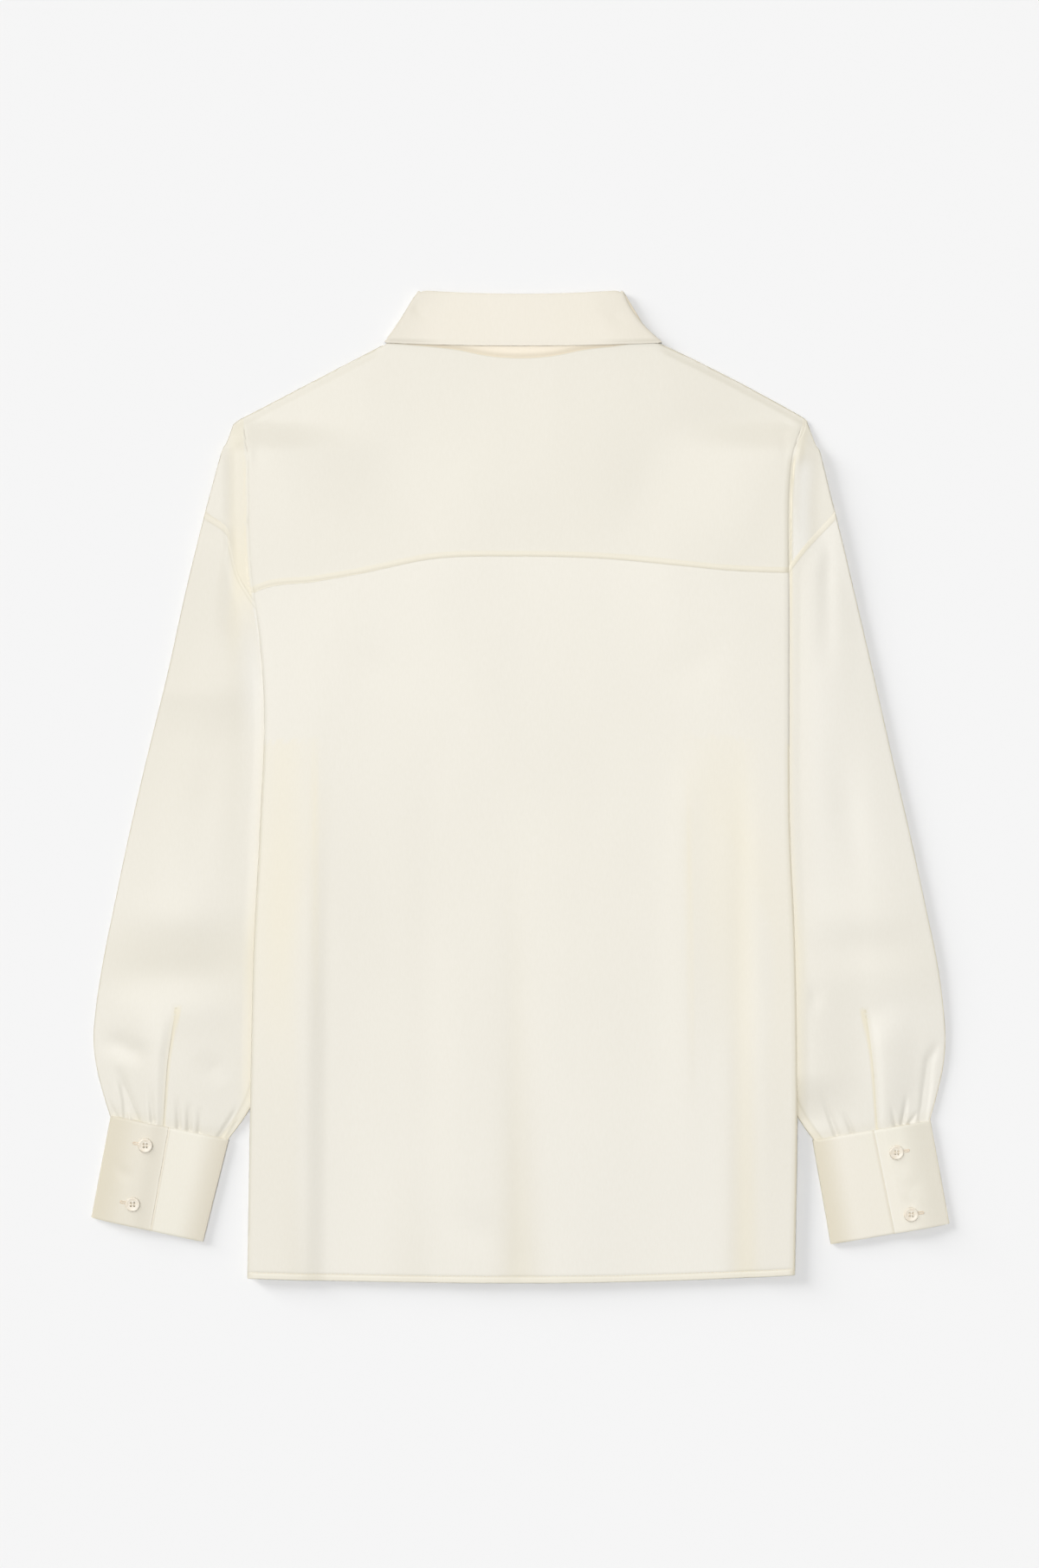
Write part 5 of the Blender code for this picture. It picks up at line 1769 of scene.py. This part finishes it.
def button_mesh():
    """A four-hole button: a turned profile with a rim, and four holes cut through it."""
    radius = BUTTON_SPAN / 2
    top = BUTTON_TALL
    profile = (
        (0, top - 0.24), (radius * 0.5, top - 0.23), (radius * 0.66, top - 0.2),
        (radius * 0.74, top - 0.08), (radius * 0.82, top), (radius * 0.92, top - 0.14),
        (radius, top - 0.6), (radius * 0.98, 0.6), (radius * 0.88, 0.1), (0, 0),
    )
    whole = add_object("whole", spun(profile))
    drill = add_object("drill", four_pins())
    cut = whole.modifiers.new("holes", "BOOLEAN")
    cut.object = drill
    cut.solver = "EXACT"
    view = bpy.context.evaluated_depsgraph_get()
    mesh = bpy.data.meshes.new_from_object(whole.evaluated_get(view))
    mesh.name = "button"
    for piece in (whole, drill):
        bpy.data.objects.remove(piece)
    mesh.shade_smooth()
    return mesh


def make_buttons(shell, thread):
    """A button on each of the solids' buttons, with two threads through its holes."""
    mesh = button_mesh()
    ends = [f"{name}_{end}" for name in SIDES for end in CUFF_BUTTONS[name]]
    named = [(f"button_{end}", f"cuff_button_{end}") for end in ends]
    named += [(f"button_front_{i + 1}", f"front_button_{i + 1}") for i in range(FRONT_BUTTONS)]
    for name, node in named:
        low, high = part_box(node)
        button = add_piece(name, mesh, shell, [node])
        button.location = ((low[0] + high[0]) / 2, (low[1] + high[1]) / 2, low[2])
        middle = np.array(button.location) / MM
        holes = [middle + (x, 0, BUTTON_TALL - 0.5) for x in (-HOLE_APART, HOLE_APART)]
        add_thread(f"{name}_thread", holes, [(0, 1, 0)] * 2, BUTTON_STITCH, thread)


# ---------------------------------------------------------------- studio


def add_stage(name, points, faces, base, shown=0.0):
    """A plain matt thing of the studio, of this base grey or shining by itself."""
    mesh = bpy.data.meshes.new(name)
    mesh.from_pydata(points, [], faces)
    look = Look(f"{name}_paper", roughness=1.0, specular=0.0)
    look.shader["Base Color"].default_value = (base, base, base, 1)
    if shown:
        look.shader["Emission Color"].default_value = (shown, shown, shown, 1)
        look.shader["Emission Strength"].default_value = 1.0
    mesh.materials.append(look.material)
    thing = add_object(name, mesh)
    return thing


def make_floor():
    corners = [(x * FLOOR_HALF, y * FLOOR_HALF, 0) for x, y in ((-1, -1), (1, -1), (1, 1), (-1, 1))]
    floor = add_stage("floor", corners, [(0, 1, 2, 3)], FLOOR_BASE)
    floor.location.z = -FLOOR_GAP
    return floor


def make_backdrop():
    """A round pale wall beyond the floor. It is seen and reflected, and lights nothing."""
    steps = WALL_STEPS
    turns = [2 * math.pi * i / steps for i in range(steps)]
    ring = [(WALL_AWAY * math.cos(turn), WALL_AWAY * math.sin(turn)) for turn in turns]
    points = [(*place, z) for z in (-1.0, WALL_TALL) for place in ring]
    faces = [(i, (i + 1) % steps, steps + (i + 1) % steps, steps + i) for i in range(steps)]
    wall = add_stage("backdrop", points, faces, 0.0, WALL_SHOWN)
    wall.visible_diffuse = False
    wall.visible_shadow = False


def add_sun(name, share, size, tilt, turn, floor=None, only_floor=False):
    """A sun tilted from straight up and turned from +Y towards -X, in degrees.

    Without a floor its share of the light falls on all. Otherwise it falls on the cloth
    only, or on the floor only.
    """
    lamp = bpy.data.lights.new(name, "SUN")
    lamp.energy = share * math.pi / math.cos(math.radians(tilt))
    lamp.angle = math.radians(size)
    turn, tilt = math.radians(turn), math.radians(tilt)
    away = Vector((-math.sin(turn) * math.sin(tilt), math.cos(turn) * math.sin(tilt), math.cos(tilt)))
    light = add_object(name, lamp)
    light.rotation_mode = "QUATERNION"
    light.rotation_quaternion = away.to_track_quat("Z", "Y")
    if floor:
        lit = bpy.data.collections.new(f"lit_by_{name}")
        lit.objects.link(floor)
        light.light_linking.receiver_collection = lit
        lit.collection_objects[0].light_linking.link_state = "INCLUDE" if only_floor else "EXCLUDE"


def make_light(floor):
    scene = bpy.context.scene
    scene.view_settings.view_transform = "Standard"
    # with so few and such wide suns, choosing among them evenly leaves far less grain
    scene.cycles.use_light_tree = False
    scene.world = bpy.data.worlds.new("studio")
    scene.world.use_nodes = True
    sky = scene.world.node_tree.nodes["Background"]
    sky.inputs["Color"].default_value = (1.0, 1.0, 1.0, 1)
    sky.inputs["Strength"].default_value = SKY
    add_sun("overhead", OVERHEAD, 14, 8, 40)
    add_sun("fill", FILL, 70, 10, 40, floor)
    add_sun("low", LOW_LIGHT, 50, 60, 40, floor)
    add_sun("floor_low", FLOOR_LIGHT, 27, 74, 60, floor, True)


def make_camera():
    """Straight above, so far off and so long that the frame's height is FRAME_LONG."""
    data = bpy.data.cameras.new("camera")
    data.sensor_width = SENSOR
    data.lens = SENSOR * CAMERA_HEIGHT / FRAME_LONG
    data.clip_start, data.clip_end = 0.1, 20
    camera = add_object("camera", data)
    camera.location = (FRAME_CENTRE[0] * MM, FRAME_CENTRE[1] * MM, CAMERA_HEIGHT * MM)
    bpy.context.scene.camera = camera


def main():
    satin = cloth_material("satin", "F2EEE3", "F0ECE1", "F4EDD9", "CFC7AE")
    # the collar's warm colour is a greyer one: painted shade towards its short ends
    collar = cloth_material("satin_collar", "F2ECDF", "F1EBDD", "E8E2D4", "D2C9AF")
    # the stand's colours are painted lighter, to offset the shade under the fall
    stand = cloth_material("satin_stand_painted_light", "FBF1DE", "F8EDD8", "FBF0DA", "E0D2B2")
    # the cuff's warm colour is a greyer one: painted shade towards its folds and beside its lap
    cuff = cloth_material("satin_cuff", "F5F0E4", "F3EFE2", "EAE4D6", "D6CAA6")
    thread = cloth_material("thread", "F0E6D2", "EBDFC8", "EBDFC8", "D2C4A4", 0.6)
    work = cloth_material("buttonhole_thread", "F6E9D6", "F2E3CF", "F2E3CF", "E2CFB4", 0.6)
    shell = shell_material("shell", "F8F1E3", "F2E8D7")
    make_yoke(satin)
    make_back(satin)
    for name in SIDES:
        make_front(name, satin)
        make_sleeve(name, satin)
        make_cuff(name, cuff)
        for end in CUFF_BUTTONS[name]:
            buttonhole(name, end, work)
    columns = collar_columns()
    make_fall(columns, collar)
    make_stand(columns, stand)
    make_buttons(shell, thread)
    hem_stitches(thread)
    make_backdrop()
    make_light(make_floor())
    make_camera()


main()
